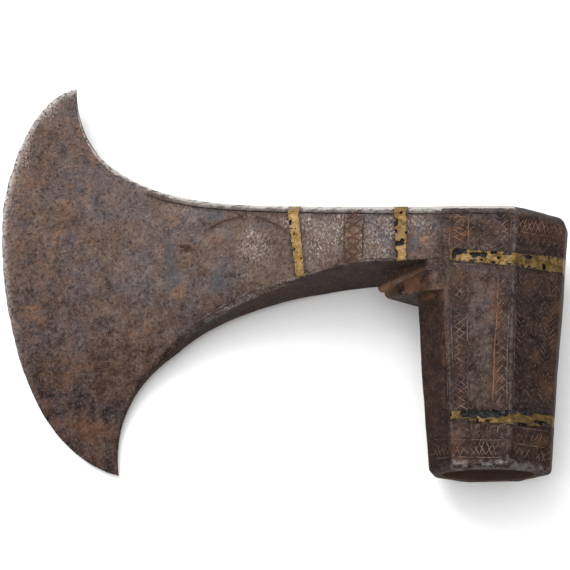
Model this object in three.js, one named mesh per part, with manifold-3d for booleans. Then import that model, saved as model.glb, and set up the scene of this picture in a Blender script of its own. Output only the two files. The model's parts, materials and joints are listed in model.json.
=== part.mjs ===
// A socketed battle-axe head of forged iron, inlaid with four brass bands, lying on its back face.
// Lengths are in millimetres. While the head is being shaped, x runs from the cutting edge towards
// the poll, y runs up the socket from its mouth, and z comes out of the front face.
import * as THREE from 'three';
import Module from 'manifold-3d';
import { mergeVertices } from 'three/addons/utils/BufferGeometryUtils.js';
import { ConvexHull } from 'three/addons/math/ConvexHull.js';

const wasm = await Module();
wasm.setup();

// ---------------------------------------------------------------- driving dimensions

// The socket is an eight-sided tapering tube. Each pair is the size at the mouth and at the top.
const SOCKET_HEIGHT = 86.25;
const HALF_WIDTH = [19.4, 25.5];
const HALF_DEPTH = [14.7, 18.6];
const FRONT_FACE_LEFT = [-10.0, -14.4];
const FRONT_FACE_RIGHT = [7.7, 11.1];
const BLADE_SIDE_FACE_HALF = [5.3, 7.4];
const POLL_FACE_HALF = [2.9, 4.2];
const MOUTH_RIM_BEVEL = 1.5;
const TOP_BEVEL = 2.8;
const POLL_ROUNDING = 1.6; // how much further the top bevel reaches down at the poll
const TOP_FALL_TO_POLL = 0.036; // drop of the top face for each millimetre towards the poll
const EYE_HALF_WIDTH = [15.0, 19.0];
const EYE_HALF_DEPTH = [10.4, 13.2];
const EYE_CENTRE = -0.8;
const EYE_SIDES = 40;
const EYE_START = -3; // the cutting tool for the eye runs from below the mouth
const EYE_END = SOCKET_HEIGHT + 6; // to above the top

// The blade and neck, drawn flat: the cutting edge and the two long sides.
const UPPER_HORN_TIP = [-146.4, 139.4];
const LOWER_HORN_TIP = [-125.2, 1.8];
const EDGE_CURVES = [
  [LOWER_HORN_TIP, [-156.4, 8.9], [-170.8, 57.7], [-170.8, 92.0]],
  [[-170.8, 92.0], [-170.8, 110.8], [-162.3, 136.8], UPPER_HORN_TIP],
];
const TOP_SIDE_START = [0, 86.2];
const TOP_SIDE_CURVES = [
  [[-25, 87.1], [-45, 87.8], [-66, 90.1], [-85.4, 93.0]],
  [[-85.4, 93.0], [-109.7, 96.7], [-145.0, 105.2], UPPER_HORN_TIP],
];
const UNDER_SIDE_START = [0, 68.0];
const UNDER_SIDE_CURVES = [
  [[-38, 68.4], [-59.9, 67.3], [-93.7, 57.3], [-106.3, 44.3]],
  [[-106.3, 44.3], [-109.1, 41.4], [-129.6, 29.5], LOWER_HORN_TIP],
];
const EDGE_HALF_THICKNESS = 0.45;
const SHOULDER = 0.21; // share of the length where the neck starts to thin
const SHOULDER_EASE = 0.05; // half the length over which the thinning sets in
const THINNING_POWER = 1.6;
const NECK_STEP = 0.04; // the neck's faces sit this hair below the socket's
const UNDER_BEVEL = 1.5;
const UNDER_BEVEL_START = 0.36; // nearer the socket than this the bevel dies away to a slight one
const UNDER_BEVEL_FADE = 0.05;
const SLIGHT_BEVEL = 0.2;
const TOP_BEVEL_SHARE = 0.45; // a bevel never takes more than this share of half the thickness
const UNDER_BEVEL_SHARE = 0.35;
const STATIONS = 44;
const ROWS = 18;
const SIDE_STEPS = 200; // pieces of each long side, for measuring how far a point lies from it
const MIDDLE = 0.5; // across the blade, where a search for a bevel's row gives up
const HALVINGS = 18;

// The pointed bracket under the root of the neck. Each level has the height of its point, the height
// of its two back corners, and how far it stands proud of the bracket's own outline.
const BRACKET_TIP = -35.4;
const BRACKET_EAR = -18.2;
const BRACKET_INSIDE = -11.0;
const BRACKET_LIP = 2.2;
const BRACKET_WAIST = 0.6;
const BRACKET_LEVELS = [
  [60.3, 58.3, -0.8],
  [61.2, 59.2, 0],
  [62.4, 64.8, 0],
  [62.8, 65.1, BRACKET_LIP],
  [64.9, 66.1, BRACKET_LIP],
  [65.6, 66.8, BRACKET_WAIST],
  [69.5, 69.5, BRACKET_WAIST],
];
const EAR_SHARE = 0.3; // the back corners stand proud by this share of what the point does
const BLUNT = 0.5; // half width of the bracket's blunted point

// The brass bands, as outlines drawn flat over the head, each cut through both faces.
const BAND_THICKNESS = 1.0;
const FIT_GAP = 0.3;
const CORE_DROP = 8; // how far the shape that a band is set on runs on below the neck
const CORE_OVERRUN = 5; // and how far it runs on past the socket's ends
const FORE_NECK_BAND = [[-63.3, 65.4], [-59.9, 65.4], [-62.8, 96], [-66.8, 96]];
const REAR_NECK_BAND = [[-28.6, 68.2], [-25.3, 68.2], [-25.5, 95], [-30.4, 95]];
const UPPER_SOCKET_BAND = [
  [-11.2, 67.3], [10.9, 65.0], [30, 66.0],
  [30, 71.9], [10.9, 69.3], [-11.2, 71.6],
];
const LOWER_SOCKET_BAND = [
  [-10.7, 15.3], [8.9, 13.6], [30, 15.8],
  [30, 18.9], [8.9, 18.1], [-10.7, 18.5],
];

// Brass that has fallen out, as small outlines that bite into a band from one side.
const REAR_NECK_LOSSES = [
  [[-30.5, 83.6], [-28.2, 82.9], [-27.9, 80.6], [-28.3, 78.9], [-30.5, 78.2]],
  [[-29.4, 75.3], [-27.0, 75.0], [-26.6, 73.6], [-27.2, 72.4], [-29.4, 72.2]],
];
const UPPER_SOCKET_LOSSES = [
  [[-10.0, 72.5], [-9.2, 69.6], [-7.4, 68.6], [-6.2, 69.8], [-6.0, 72.0]],
  [[-4.6, 72.0], [-4.0, 69.0], [-1.5, 68.2], [0.6, 68.6], [1.0, 71.5]],
];
const LOWER_SOCKET_LOSSES = [
  [[-6.8, 19.5], [-6.2, 16.4], [-1.0, 15.7], [3.0, 15.4], [6.2, 15.7], [6.9, 19.5]],
];

const LAST_BAND_STATION = 26; // a station on the blade side of the fore neck band

// ---------------------------------------------------------------- small helpers

const CORNER_SLOPE = Math.tan(Math.PI / 8); // what a flat side loses at each end for each unit of inset
const CUT_REACH = 60; // a cutting prism is deeper than the head is thick
const SAME_POINT = 1e-4; // corners closer than this are one corner

const vector2 = ([x, y]) => new THREE.Vector2(x, y);
const atHeight = ([mouth, top], y) => mouth + (top - mouth) * y / SOCKET_HEIGHT;

// Turns triangles or a three.js geometry into a solid that can be joined and cut.
function solidOf(geometry) {
  const bare = new THREE.BufferGeometry();
  bare.setAttribute('position', geometry.getAttribute('position').clone());
  if (geometry.index) {
    bare.setIndex(geometry.index.clone());
  }
  const merged = mergeVertices(bare, SAME_POINT);
  return new wasm.Manifold(new wasm.Mesh({
    numProp: 3,
    vertProperties: new Float32Array(merged.getAttribute('position').array),
    triVerts: new Uint32Array(merged.index.array),
  }));
}

function geometryOf(solid) {
  const mesh = solid.getMesh();
  const geometry = new THREE.BufferGeometry();
  geometry.setAttribute('position', new THREE.BufferAttribute(new Float32Array(mesh.vertProperties), 3));
  geometry.setIndex(new THREE.BufferAttribute(new Uint32Array(mesh.triVerts), 1));
  return geometry;
}

// Skins a row of sections. Each section lists only its front half, as points with z above 0,
// and the back half is its mirror image.
function loft(sections) {
  const half = sections[0].length;
  const around = half * 2;
  const positions = [];
  for (const section of sections) {
    for (const p of section) {
      positions.push(p.x, p.y, p.z);
    }
    for (const p of [...section].reverse()) {
      positions.push(p.x, p.y, -p.z);
    }
  }
  const triangles = [];
  for (let i = 0; i + 1 < sections.length; i += 1) {
    for (let k = 0; k < around; k += 1) {
      const a = i * around + k;
      const b = i * around + (k + 1) % around;
      triangles.push(a, b, b + around, a, b + around, a + around);
    }
  }
  const last = (sections.length - 1) * around;
  for (let k = 0; k + 1 < half; k += 1) {
    const mirror = around - 1 - k;
    triangles.push(k, mirror, mirror - 1, k, mirror - 1, k + 1);
    triangles.push(last + k, last + mirror - 1, last + mirror, last + k, last + k + 1, last + mirror - 1);
  }
  const geometry = new THREE.BufferGeometry();
  geometry.setAttribute('position', new THREE.BufferAttribute(new Float32Array(positions), 3));
  geometry.setIndex(triangles);
  return outwards(geometry);
}

// Turns every face over if the skin came out inside out.
function outwards(geometry) {
  const p = geometry.getAttribute('position');
  const index = geometry.index;
  let volume = 0;
  const [a, b, c] = [new THREE.Vector3(), new THREE.Vector3(), new THREE.Vector3()];
  for (let i = 0; i < index.count; i += 3) {
    a.fromBufferAttribute(p, index.getX(i));
    b.fromBufferAttribute(p, index.getX(i + 1));
    c.fromBufferAttribute(p, index.getX(i + 2));
    volume += a.dot(b.cross(c));
  }
  if (volume < 0) {
    for (let i = 0; i < index.count; i += 3) {
      const second = index.getX(i + 1);
      index.setX(i + 1, index.getX(i + 2));
      index.setX(i + 2, second);
    }
  }
  return geometry;
}

// A prism over an outline drawn flat, reaching through the head from front to back.
function cutter(outline) {
  const shape = new THREE.Shape(outline.map(vector2));
  const prism = new THREE.ExtrudeGeometry(shape, { depth: CUT_REACH, bevelEnabled: false });
  prism.translate(0, 0, -CUT_REACH / 2);
  return solidOf(prism);
}

// The same outline, grown by a margin on every side, for the groove that a band lies in.
function grown(outline, margin) {
  const points = outline.map(vector2);
  const clockwise = THREE.ShapeUtils.isClockWise(points);
  return points.map((point, i) => {
    const before = points[(i + points.length - 1) % points.length];
    const after = points[(i + 1) % points.length];
    const edges = [point.clone().sub(before).normalize(), after.clone().sub(point).normalize()];
    const normals = edges.map((e) => (clockwise ? vector2([-e.y, e.x]) : vector2([e.y, -e.x])));
    const middle = normals[0].clone().add(normals[1]).normalize();
    const moved = point.clone().addScaledVector(middle, margin / middle.dot(normals[0]));
    return [moved.x, moved.y];
  });
}

// ---------------------------------------------------------------- the socket

// Front half of the eight-sided section at height y, shrunk evenly by an inset.
function socketSection(y, inset) {
  const corner = inset * CORNER_SLOPE;
  const width = atHeight(HALF_WIDTH, y) - inset;
  const depth = atHeight(HALF_DEPTH, y) - inset;
  const outline = [
    [-width, atHeight(BLADE_SIDE_FACE_HALF, y) - corner],
    [atHeight(FRONT_FACE_LEFT, y) + corner, depth],
    [atHeight(FRONT_FACE_RIGHT, y) - corner, depth],
    [width, atHeight(POLL_FACE_HALF, y) - corner],
  ];
  return outline.map(([x, z]) => new THREE.Vector3(x, y, z));
}

// A section near the top follows the top face, which falls towards the poll.
function topSection(below, inset) {
  const section = socketSection(SOCKET_HEIGHT - below, inset);
  for (const p of section) {
    p.y -= TOP_FALL_TO_POLL * p.x;
  }
  section[section.length - 1].y -= inset > 0 ? 0 : POLL_ROUNDING;
  return section;
}

function socketSolid() {
  return solidOf(loft([
    socketSection(0, MOUTH_RIM_BEVEL),
    socketSection(MOUTH_RIM_BEVEL, 0),
    topSection(TOP_BEVEL, 0),
    topSection(0, TOP_BEVEL),
  ]));
}

// The socket's skin pushed in by a depth, without its bevels, for setting bands to that depth.
function socketCore(depth) {
  return solidOf(loft([
    socketSection(-CORE_OVERRUN, depth),
    socketSection(SOCKET_HEIGHT + CORE_OVERRUN, depth),
  ]));
}

// The tapering oval hole for the haft, running past both ends of the socket.
function eyeSolid() {
  const quarterTurn = Math.PI / EYE_SIDES;
  const sections = [EYE_START, EYE_END].map((y) => {
    const half = [];
    for (let i = 0; i < EYE_SIDES / 2; i += 1) {
      const angle = Math.PI - quarterTurn * (2 * i + 1);
      const x = EYE_CENTRE + atHeight(EYE_HALF_WIDTH, y) * Math.cos(angle);
      half.push(new THREE.Vector3(x, y, atHeight(EYE_HALF_DEPTH, y) * Math.sin(angle)));
    }
    return half;
  });
  return solidOf(loft(sections));
}

// ---------------------------------------------------------------- the blade and neck

function sideCurve(start, curves) {
  const path = new THREE.CurvePath();
  if (start) {
    path.add(new THREE.LineCurve(vector2(start), vector2(curves[0][0])));
  }
  for (const handles of curves) {
    path.add(new THREE.CubicBezierCurve(...handles.map(vector2)));
  }
  return path;
}

const cuttingEdge = sideCurve(null, EDGE_CURVES);
const topSide = sideCurve(TOP_SIDE_START, TOP_SIDE_CURVES);
const underSide = sideCurve(UNDER_SIDE_START, UNDER_SIDE_CURVES);
const TOP_LINE = topSide.getSpacedPoints(SIDE_STEPS);
const UNDER_LINE = underSide.getSpacedPoints(SIDE_STEPS);

// A point of the blade's plan: along runs from the socket to the cutting edge, and across runs from
// the underside to the top. The four sides are blended as a Coons patch.
function planPoint(along, across) {
  const root = vector2(UNDER_SIDE_START).lerp(vector2(TOP_SIDE_START), across);
  const edge = cuttingEdge.getPoint(across);
  const under = underSide.getPoint(along);
  const top = topSide.getPoint(along);
  const chord = vector2(LOWER_HORN_TIP).lerp(vector2(UPPER_HORN_TIP), across);
  const corners = root.clone().lerp(chord, along);
  return root.lerp(edge, along).add(under.lerp(top, across)).sub(corners);
}

// Half the thickness falls from the socket's own depth to the thin cutting edge.
function halfThickness(along, y) {
  const past = along - SHOULDER;
  let ramp = Math.max(past, 0);
  if (Math.abs(past) < SHOULDER_EASE) {
    ramp = (past + SHOULDER_EASE) ** 2 / (4 * SHOULDER_EASE);
  }
  const left = 1 - ramp / (1 - SHOULDER);
  const root = atHeight(HALF_DEPTH, y) - NECK_STEP;
  return EDGE_HALF_THICKNESS + (root - EDGE_HALF_THICKNESS) * left ** THINNING_POWER;
}

// How far a point of the plan lies from a line of points.
function distanceFrom(line, p) {
  let nearest = Infinity;
  for (let i = 1; i < line.length; i += 1) {
    const step = line[i].clone().sub(line[i - 1]);
    const reach = p.clone().sub(line[i - 1]).dot(step) / step.lengthSq();
    const foot = line[i - 1].clone().addScaledVector(step, THREE.MathUtils.clamp(reach, 0, 1));
    nearest = Math.min(nearest, foot.distanceTo(p));
  }
  return nearest;
}

// Where a section is a distance in from its underside, across 0, or from its top, across 1.
function acrossAt(along, side, distance) {
  const line = side > 0 ? TOP_LINE : UNDER_LINE;
  let near = side;
  let far = MIDDLE;
  for (let i = 0; i < HALVINGS; i += 1) {
    const between = (near + far) / 2;
    if (distanceFrom(line, planPoint(along, between)) < distance) {
      near = between;
    } else {
      far = between;
    }
  }
  return near;
}

// Front half of one section across the blade, pushed in by a depth for setting bands. A pushed-in
// section runs on below the neck, so that a band stops at the neck's lower edge.
function bladeSection(along, depth) {
  const bottom = planPoint(along, 0);
  const high = planPoint(along, 1);
  const thickness = halfThickness(along, high.y);
  const topBevel = Math.min(TOP_BEVEL, TOP_BEVEL_SHARE * thickness);
  const fade = THREE.MathUtils.smoothstep(along, UNDER_BEVEL_START, UNDER_BEVEL_START + UNDER_BEVEL_FADE);
  const wanted = THREE.MathUtils.lerp(SLIGHT_BEVEL, UNDER_BEVEL, fade);
  const underBevel = Math.min(wanted, UNDER_BEVEL_SHARE * thickness);
  const first = acrossAt(along, 0, underBevel);
  const last = acrossAt(along, 1, topBevel);
  const section = [];
  for (let j = 0; j <= ROWS; j += 1) {
    const share = THREE.MathUtils.lerp(first, last, j / ROWS);
    const p = planPoint(along, share);
    section.push(new THREE.Vector3(p.x, p.y, halfThickness(along, p.y) - depth));
  }
  const corner = depth * CORNER_SLOPE;
  section[ROWS].y -= corner;
  section.unshift(new THREE.Vector3(bottom.x, bottom.y, section[0].z - underBevel));
  if (depth > 0) {
    section[0].y -= CORE_DROP;
    section[1].y -= CORE_DROP;
  }
  section.push(new THREE.Vector3(high.x, high.y - depth, thickness - topBevel - corner));
  return section;
}

function bladeSolid(depth = 0, lastStation = STATIONS) {
  const sections = [];
  for (let i = 0; i <= lastStation; i += 1) {
    sections.push(bladeSection(i / STATIONS, depth));
  }
  return solidOf(loft(sections));
}

// ---------------------------------------------------------------- the bracket

// Half of one level: the point, then the back corner and a corner inside the socket.
function bracketSection([tipHeight, earHeight, proud]) {
  const depth = atHeight(HALF_DEPTH, earHeight) - 2 * NECK_STEP;
  return [
    new THREE.Vector3(BRACKET_TIP - proud, tipHeight, BLUNT),
    new THREE.Vector3(BRACKET_EAR - proud * EAR_SHARE, earHeight, depth),
    new THREE.Vector3(BRACKET_INSIDE, earHeight, depth),
  ];
}

// A bracket shaped like a ship's bow, with a raised lip around its upper edge.
const bracketSolid = () => solidOf(loft(BRACKET_LEVELS.map(bracketSection)));

// ---------------------------------------------------------------- the head and its bands

function unite(solids) {
  return solids.reduce((sum, solid) => sum.add(solid));
}

const neckShell = (depth) => bladeSolid(depth, LAST_BAND_STATION);

function bandSolid(skin, core, outline, losses) {
  const strip = skin.intersect(cutter(outline)).subtract(core(BAND_THICKNESS));
  return losses.reduce((solid, loss) => solid.subtract(cutter(loss)), strip);
}

function grooveSolid(core, outline) {
  return cutter(grown(outline, FIT_GAP)).subtract(core(BAND_THICKNESS + FIT_GAP));
}

const socket = socketSolid();
const neck = bladeSolid();
const BANDS = [
  ['fore_neck_band', neck, neckShell, FORE_NECK_BAND, []],
  ['rear_neck_band', neck, neckShell, REAR_NECK_BAND, REAR_NECK_LOSSES],
  ['upper_socket_band', socket, socketCore, UPPER_SOCKET_BAND, UPPER_SOCKET_LOSSES],
  ['lower_socket_band', socket, socketCore, LOWER_SOCKET_BAND, LOWER_SOCKET_LOSSES],
];

let head = unite([neck, socket, bracketSolid()]).subtract(eyeSolid());
for (const [, , core, outline] of BANDS) {
  head = head.subtract(grooveSolid(core, outline));
}

// ---------------------------------------------------------------- lying at rest

const FACING_BACK = -0.9; // a face of the hull turned further from the back than this is passed over

// The face of the hull that the head lies on: the back one that its centre of mass stands over.
function restingFace(geometry, centre) {
  const p = geometry.getAttribute('position');
  const points = [];
  for (let i = 0; i < p.count; i += 1) {
    points.push(new THREE.Vector3().fromBufferAttribute(p, i));
  }
  const hull = new ConvexHull().setFromPoints(points);
  for (const face of hull.faces) {
    if (face.normal.z > FACING_BACK) {
      continue;
    }
    const corners = [face.edge.tail().point, face.edge.head().point, face.edge.next.head().point];
    const foot = centre.clone().addScaledVector(face.normal, -face.distanceToPoint(centre));
    if (new THREE.Triangle(...corners).containsPoint(foot)) {
      return face.normal.clone();
    }
  }
  throw new Error('the head has no resting face at its back');
}

// Centre of mass of a closed solid.
function centreOf(solid) {
  const geometry = geometryOf(solid).toNonIndexed();
  const p = geometry.getAttribute('position');
  const sum = new THREE.Vector3();
  let volume = 0;
  for (let i = 0; i < p.count; i += 3) {
    const [a, b, c] = [0, 1, 2].map((k) => new THREE.Vector3().fromBufferAttribute(p, i + k));
    const part = a.dot(b.clone().cross(c)) / 6;
    volume += part;
    sum.addScaledVector(a.add(b).add(c), part / 4);
  }
  return sum.divideScalar(volume);
}

const IRON = { color: 0x5a4a42, roughness: 0.62, metalness: 0.85 };
const BRASS = { color: 0xb89a4a, roughness: 0.42, metalness: 0.95 };

const down = restingFace(geometryOf(head), centreOf(head));
const lying = new THREE.Quaternion().setFromUnitVectors(down, new THREE.Vector3(0, 0, -1));

const axeHead = new THREE.Group();

function addPiece(name, solid, finish) {
  const geometry = geometryOf(solid);
  geometry.applyQuaternion(lying);
  const mesh = new THREE.Mesh(geometry, new THREE.MeshStandardMaterial(finish));
  mesh.name = name;
  axeHead.add(mesh);
}

addPiece('axe_head', head, IRON);
for (const [name, skin, core, outline, losses] of BANDS) {
  addPiece(name, bandSolid(skin, core, outline, losses), BRASS);
}

// The origin is under the middle of the head's box, on the surface that it lies on.
const box = new THREE.Box3().setFromObject(axeHead);
const middle = box.getCenter(new THREE.Vector3());
for (const mesh of axeHead.children) {
  mesh.position.set(-middle.x, -middle.y, -box.min.z);
}

export default axeHead;
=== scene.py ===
# %% [markdown]
# # An iron axe head with brass inlay
# The object is the head of a battle axe: one forging of iron, with a crescent blade, a long neck and
# an eight-sided socket for the haft. Four brass bands are hammered into grooves, and rows of short
# engraved strokes cover the socket. It has no haft, so it lies on its back face.
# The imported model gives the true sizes. Everything here is built around it, in metres.

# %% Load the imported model
import json
import math
import random

import bmesh
import bpy
import numpy as np
from mathutils import Matrix, Vector, kdtree, noise
from mathutils.bvhtree import BVHTree


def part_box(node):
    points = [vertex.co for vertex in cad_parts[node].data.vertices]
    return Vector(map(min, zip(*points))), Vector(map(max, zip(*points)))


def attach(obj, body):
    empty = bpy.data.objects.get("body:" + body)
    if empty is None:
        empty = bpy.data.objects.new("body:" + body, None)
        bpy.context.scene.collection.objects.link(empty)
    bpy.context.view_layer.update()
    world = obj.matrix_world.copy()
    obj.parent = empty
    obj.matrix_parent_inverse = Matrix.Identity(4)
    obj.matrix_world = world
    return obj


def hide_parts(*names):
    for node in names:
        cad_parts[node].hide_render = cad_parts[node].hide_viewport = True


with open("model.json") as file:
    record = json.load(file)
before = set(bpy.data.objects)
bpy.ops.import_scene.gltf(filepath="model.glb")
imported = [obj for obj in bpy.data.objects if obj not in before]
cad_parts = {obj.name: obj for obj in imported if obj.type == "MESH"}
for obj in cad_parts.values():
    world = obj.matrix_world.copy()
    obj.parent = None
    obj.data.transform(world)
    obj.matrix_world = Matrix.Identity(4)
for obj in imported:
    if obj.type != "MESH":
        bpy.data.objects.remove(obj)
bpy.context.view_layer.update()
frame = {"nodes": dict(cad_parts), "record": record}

print("nodes:", sorted(frame["nodes"]))

# %% [markdown]
# ## The head's own axes
# A smith thinks of the head standing: x from the cutting edge towards the poll, y up the socket from
# its mouth, z out of the front face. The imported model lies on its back, so these axes are turned a
# few degrees from the world's. The record's two rim mounts hold the turn exactly: one looks straight
# down out of the mouth, and the other leans a little towards the poll. The shapes below are worked
# out in millimetres on these axes and placed at the end.

# %% Find the head's axes from the rim mounts
MM = 0.001
MOUTH_RIM_OUT = 16.1  # how far the mouth rim's mount is from the socket's middle

mounts = {mount["name"]: mount for mount in frame["record"]["mounts"]}
up_socket = -Vector(mounts["mouth_rim"]["axis"]).normalized()
top_axis = Vector(mounts["top_rim"]["axis"]).normalized()
to_poll = (top_axis - top_axis.dot(up_socket) * up_socket).normalized()
out_of_front = to_poll.cross(up_socket)
socket_foot = Vector(mounts["mouth_rim"]["pos_m"]) - to_poll * MOUTH_RIM_OUT * MM

head_frame = Matrix((to_poll, up_socket, out_of_front)).transposed().to_4x4()
head_frame.translation = socket_foot
place_head = head_frame @ Matrix.Scale(MM, 4)
print("lean of the front face from straight up, in degrees:",
      round(math.degrees(out_of_front.angle(Vector((0, 0, 1)))), 2))

# %% [markdown]
# ## The camera
# It looks down on the lying head from the mouth's side of the front face, a little from the poll's
# side. A long lens about 0.8 m away keeps the socket's sides almost parallel.

# %% Place the camera
CAMERA_TO_POLL = math.radians(12.5)
CAMERA_TO_MOUTH = math.radians(14.5)
CAMERA_ROLL = math.radians(-1.3)
CAMERA_DISTANCE = 0.8088
AIM_X, AIM_Y = -69.6, 65.9  # the point in the blade's middle plane at the picture's centre
FRAME_WIDTH = 0.1921  # width that the frame takes in at that point
SENSOR_WIDTH = 36


def add_camera():
    data = bpy.data.cameras.new("camera")
    camera = bpy.data.objects.new("camera", data)
    bpy.context.collection.objects.link(camera)
    bpy.context.scene.camera = camera
    turn = Vector((math.sin(CAMERA_TO_POLL) * math.cos(CAMERA_TO_MOUTH),
                   -math.sin(CAMERA_TO_MOUTH),
                   math.cos(CAMERA_TO_POLL) * math.cos(CAMERA_TO_MOUTH)))
    back = (head_frame.to_3x3() @ turn).normalized()
    level_right = head_frame.to_3x3() @ Vector((math.cos(CAMERA_TO_POLL), 0, -math.sin(CAMERA_TO_POLL)))
    level_up = back.cross(level_right)
    right = level_right * math.cos(CAMERA_ROLL) - level_up * math.sin(CAMERA_ROLL)
    up = level_right * math.sin(CAMERA_ROLL) + level_up * math.cos(CAMERA_ROLL)
    pose = Matrix((right, up, back)).transposed().to_4x4()
    pose.translation = place_head @ Vector((AIM_X, AIM_Y, 0)) + back * CAMERA_DISTANCE
    camera.matrix_world = pose
    data.sensor_width = SENSOR_WIDTH
    data.lens = data.sensor_width * CAMERA_DISTANCE / FRAME_WIDTH
    data.clip_start = 0.01
    return camera


camera = add_camera()
print("lens in mm:", round(camera.data.lens, 1))

# %% [markdown]
# ## Sizes of the head
# These are the driving sizes of the forging in millimetres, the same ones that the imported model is
# built from. A pair of widths or depths is the size at the mouth and at the top of the socket. The
# points of the blade's curves are x and y.

# %% Name the sizes
SOCKET_HEIGHT = 86.25
HALF_WIDTH = (19.4, 25.5)
HALF_DEPTH = (14.7, 18.6)
FRONT_FACE_LEFT = (-10.0, -14.4)
FRONT_FACE_RIGHT = (7.7, 11.1)
BLADE_SIDE_FACE_HALF = (5.3, 7.4)
POLL_FACE_HALF = (2.9, 4.2)
MOUTH_RIM_BEVEL = 1.5
TOP_BEVEL = 2.8
TOP_ROUND = 3.4
POLL_ROUNDING = 1.2
TOP_FALL_TO_POLL = 0.036
EYE_HALF_WIDTH = (15.0, 19.0)
EYE_HALF_DEPTH = (10.4, 13.2)
EYE_CENTRE = -0.8

UPPER_HORN_TIP = (-146.4, 139.4)
LOWER_HORN_TIP = (-125.2, 1.8)
EDGE_CURVES = [
    (LOWER_HORN_TIP, (-156.4, 8.9), (-170.8, 57.7), (-170.8, 92.0)),
    ((-170.8, 92.0), (-170.8, 110.8), (-162.3, 136.8), UPPER_HORN_TIP),
]
TOP_SIDE_START = (0, 86.2)
TOP_SIDE_CURVES = [
    ((-25, 87.1), (-45, 87.8), (-66, 90.1), (-85.4, 93.0)),
    ((-85.4, 93.0), (-109.7, 96.7), (-145.0, 105.2), UPPER_HORN_TIP),
]
UNDER_SIDE_START = (0, 68.0)
UNDER_SIDE_CURVES = [
    ((-38, 68.4), (-59.9, 67.3), (-93.7, 57.3), (-106.3, 44.3)),
    ((-106.3, 44.3), (-109.1, 41.4), (-129.6, 29.5), LOWER_HORN_TIP),
]
EDGE_HALF_THICKNESS = 0.4
SHOULDER = 0.21
SHOULDER_EASE = 0.05
THINNING_POWER = 1.6
UNDER_BEVEL = 1.5
UNDER_BEVEL_START = 0.36
UNDER_BEVEL_FADE = 0.05
# Where the iron is thin, a bevel takes at most this share of it, and a worn corner of its bevel.
TOP_BEVEL_SHARE, UNDER_BEVEL_SHARE, WORN_SHARE = 0.45, 0.35, 0.3
FLAT_ROWS = (0.15, 0.45, 0.75, 0.95)  # where the rows of points lie across the flat top and underside
SLIGHT_BEVEL = 0.3  # the bevel under the neck, before the full one starts
WORN_CORNER = 0.28  # how far a hammered corner is rubbed back on each side
NECK_STEP = 0.04

BRACKET_TIP = -35.4
BRACKET_EAR = -18.2
BRACKET_INSIDE = -11.0
BRACKET_LIP = 2.2
BRACKET_BLUNT = 0.5


def at_height(pair, y):
    return pair[0] + (pair[1] - pair[0]) * y / SOCKET_HEIGHT


print("socket is", 2 * HALF_WIDTH[0], "mm wide at the mouth and", 2 * HALF_WIDTH[1], "at the top")

# %% [markdown]
# ## Name the finishes
# The head has three finishes: the patinated iron itself, the rust in its engraving, and the blackened
# grooves that show where brass is lost. The bands are tarnished brass. The materials are named first,
# so that each cutter can mark the faces it makes, and their nodes are built at the end.

# %% Name the finishes
iron = bpy.data.materials.new("patinated iron")
groove_rust = bpy.data.materials.new("rust in the engraving")
empty_groove = bpy.data.materials.new("blackened groove")
brass = bpy.data.materials.new("tarnished brass")

# %% [markdown]
# ## Skins and booleans
# A lofted skin is the plainest way to make a forging: a row of rings, each with the same number of
# points, joined by quads. The head is the same front and back, so each ring is given as its front
# half, and the back half is its mirror image. Skins are joined and cut with the Manifold solver,
# which is fast enough for meshes with tens of thousands of faces.

# %% Make skins, and join and cut them


def skin(name, halves):
    """halves: array of rings by points by xyz, each ring's front half with z above 0."""
    halves = np.asarray(halves, float)
    rings, half, _ = halves.shape
    mirror = halves[:, ::-1] * (1, 1, -1)
    points = np.concatenate([halves, mirror], axis=1)
    around = 2 * half
    faces = []
    for i in range(rings - 1):
        for k in range(around):
            a = i * around + k
            b = i * around + (k + 1) % around
            faces.append((a, b, b + around, a + around))
    last = (rings - 1) * around
    for k in range(half - 1):
        m = around - 1 - k
        faces.append((k, m, m - 1, k + 1))
        faces.append((last + k, last + k + 1, last + m - 1, last + m))
    mesh = bpy.data.meshes.new(name)
    mesh.from_pydata(points.reshape(-1, 3).tolist(), [], faces)
    mesh.materials.append(iron)
    face_out(mesh)
    return bpy.data.objects.new(name, mesh)


def face_out(mesh):
    tidy = bmesh.new()
    tidy.from_mesh(mesh)
    bmesh.ops.recalc_face_normals(tidy, faces=tidy.faces)
    if tidy.calc_volume(signed=True) < 0:
        bmesh.ops.reverse_faces(tidy, faces=tidy.faces)
    tidy.to_mesh(mesh)
    tidy.free()


def bake(piece):
    """A plain mesh of the piece with its modifiers applied, on a new object of the same name."""
    name = piece.name
    graph = bpy.context.evaluated_depsgraph_get()
    mesh = bpy.data.meshes.new_from_object(piece.evaluated_get(graph))
    discard(piece)
    made = bpy.data.objects.new(name, mesh)
    bpy.context.collection.objects.link(made)
    return made


def discard(piece):
    mesh = piece.data
    bpy.data.objects.remove(piece)
    if mesh.users == 0:
        bpy.data.meshes.remove(mesh)


def combine(piece, other, operation, keep_other=False):
    """Joins, cuts or crosses two closed pieces and gives back the plain result."""
    for part in (piece, other):
        if part.name not in bpy.context.collection.objects:
            bpy.context.collection.objects.link(part)
    modifier = piece.modifiers.new("combine", "BOOLEAN")
    modifier.solver = "MANIFOLD"
    modifier.material_mode = "TRANSFER"
    modifier.operation = operation
    modifier.object = other
    bpy.context.view_layer.update()
    made = bake(piece)
    if not keep_other:
        discard(other)
    return made


def triangles(piece):
    piece.data.calc_loop_triangles()
    return len(piece.data.loop_triangles)


# %% [markdown]
# ## The socket
# The haft socket is a tapering tube with eight sides, wider at the top. Its corners have been rubbed
# round, so each corner of the ring is three points close together, which make a soft turn. The rim of
# the mouth is rolled over, and the top has a flat bevel that becomes a round shoulder at the poll.

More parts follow.
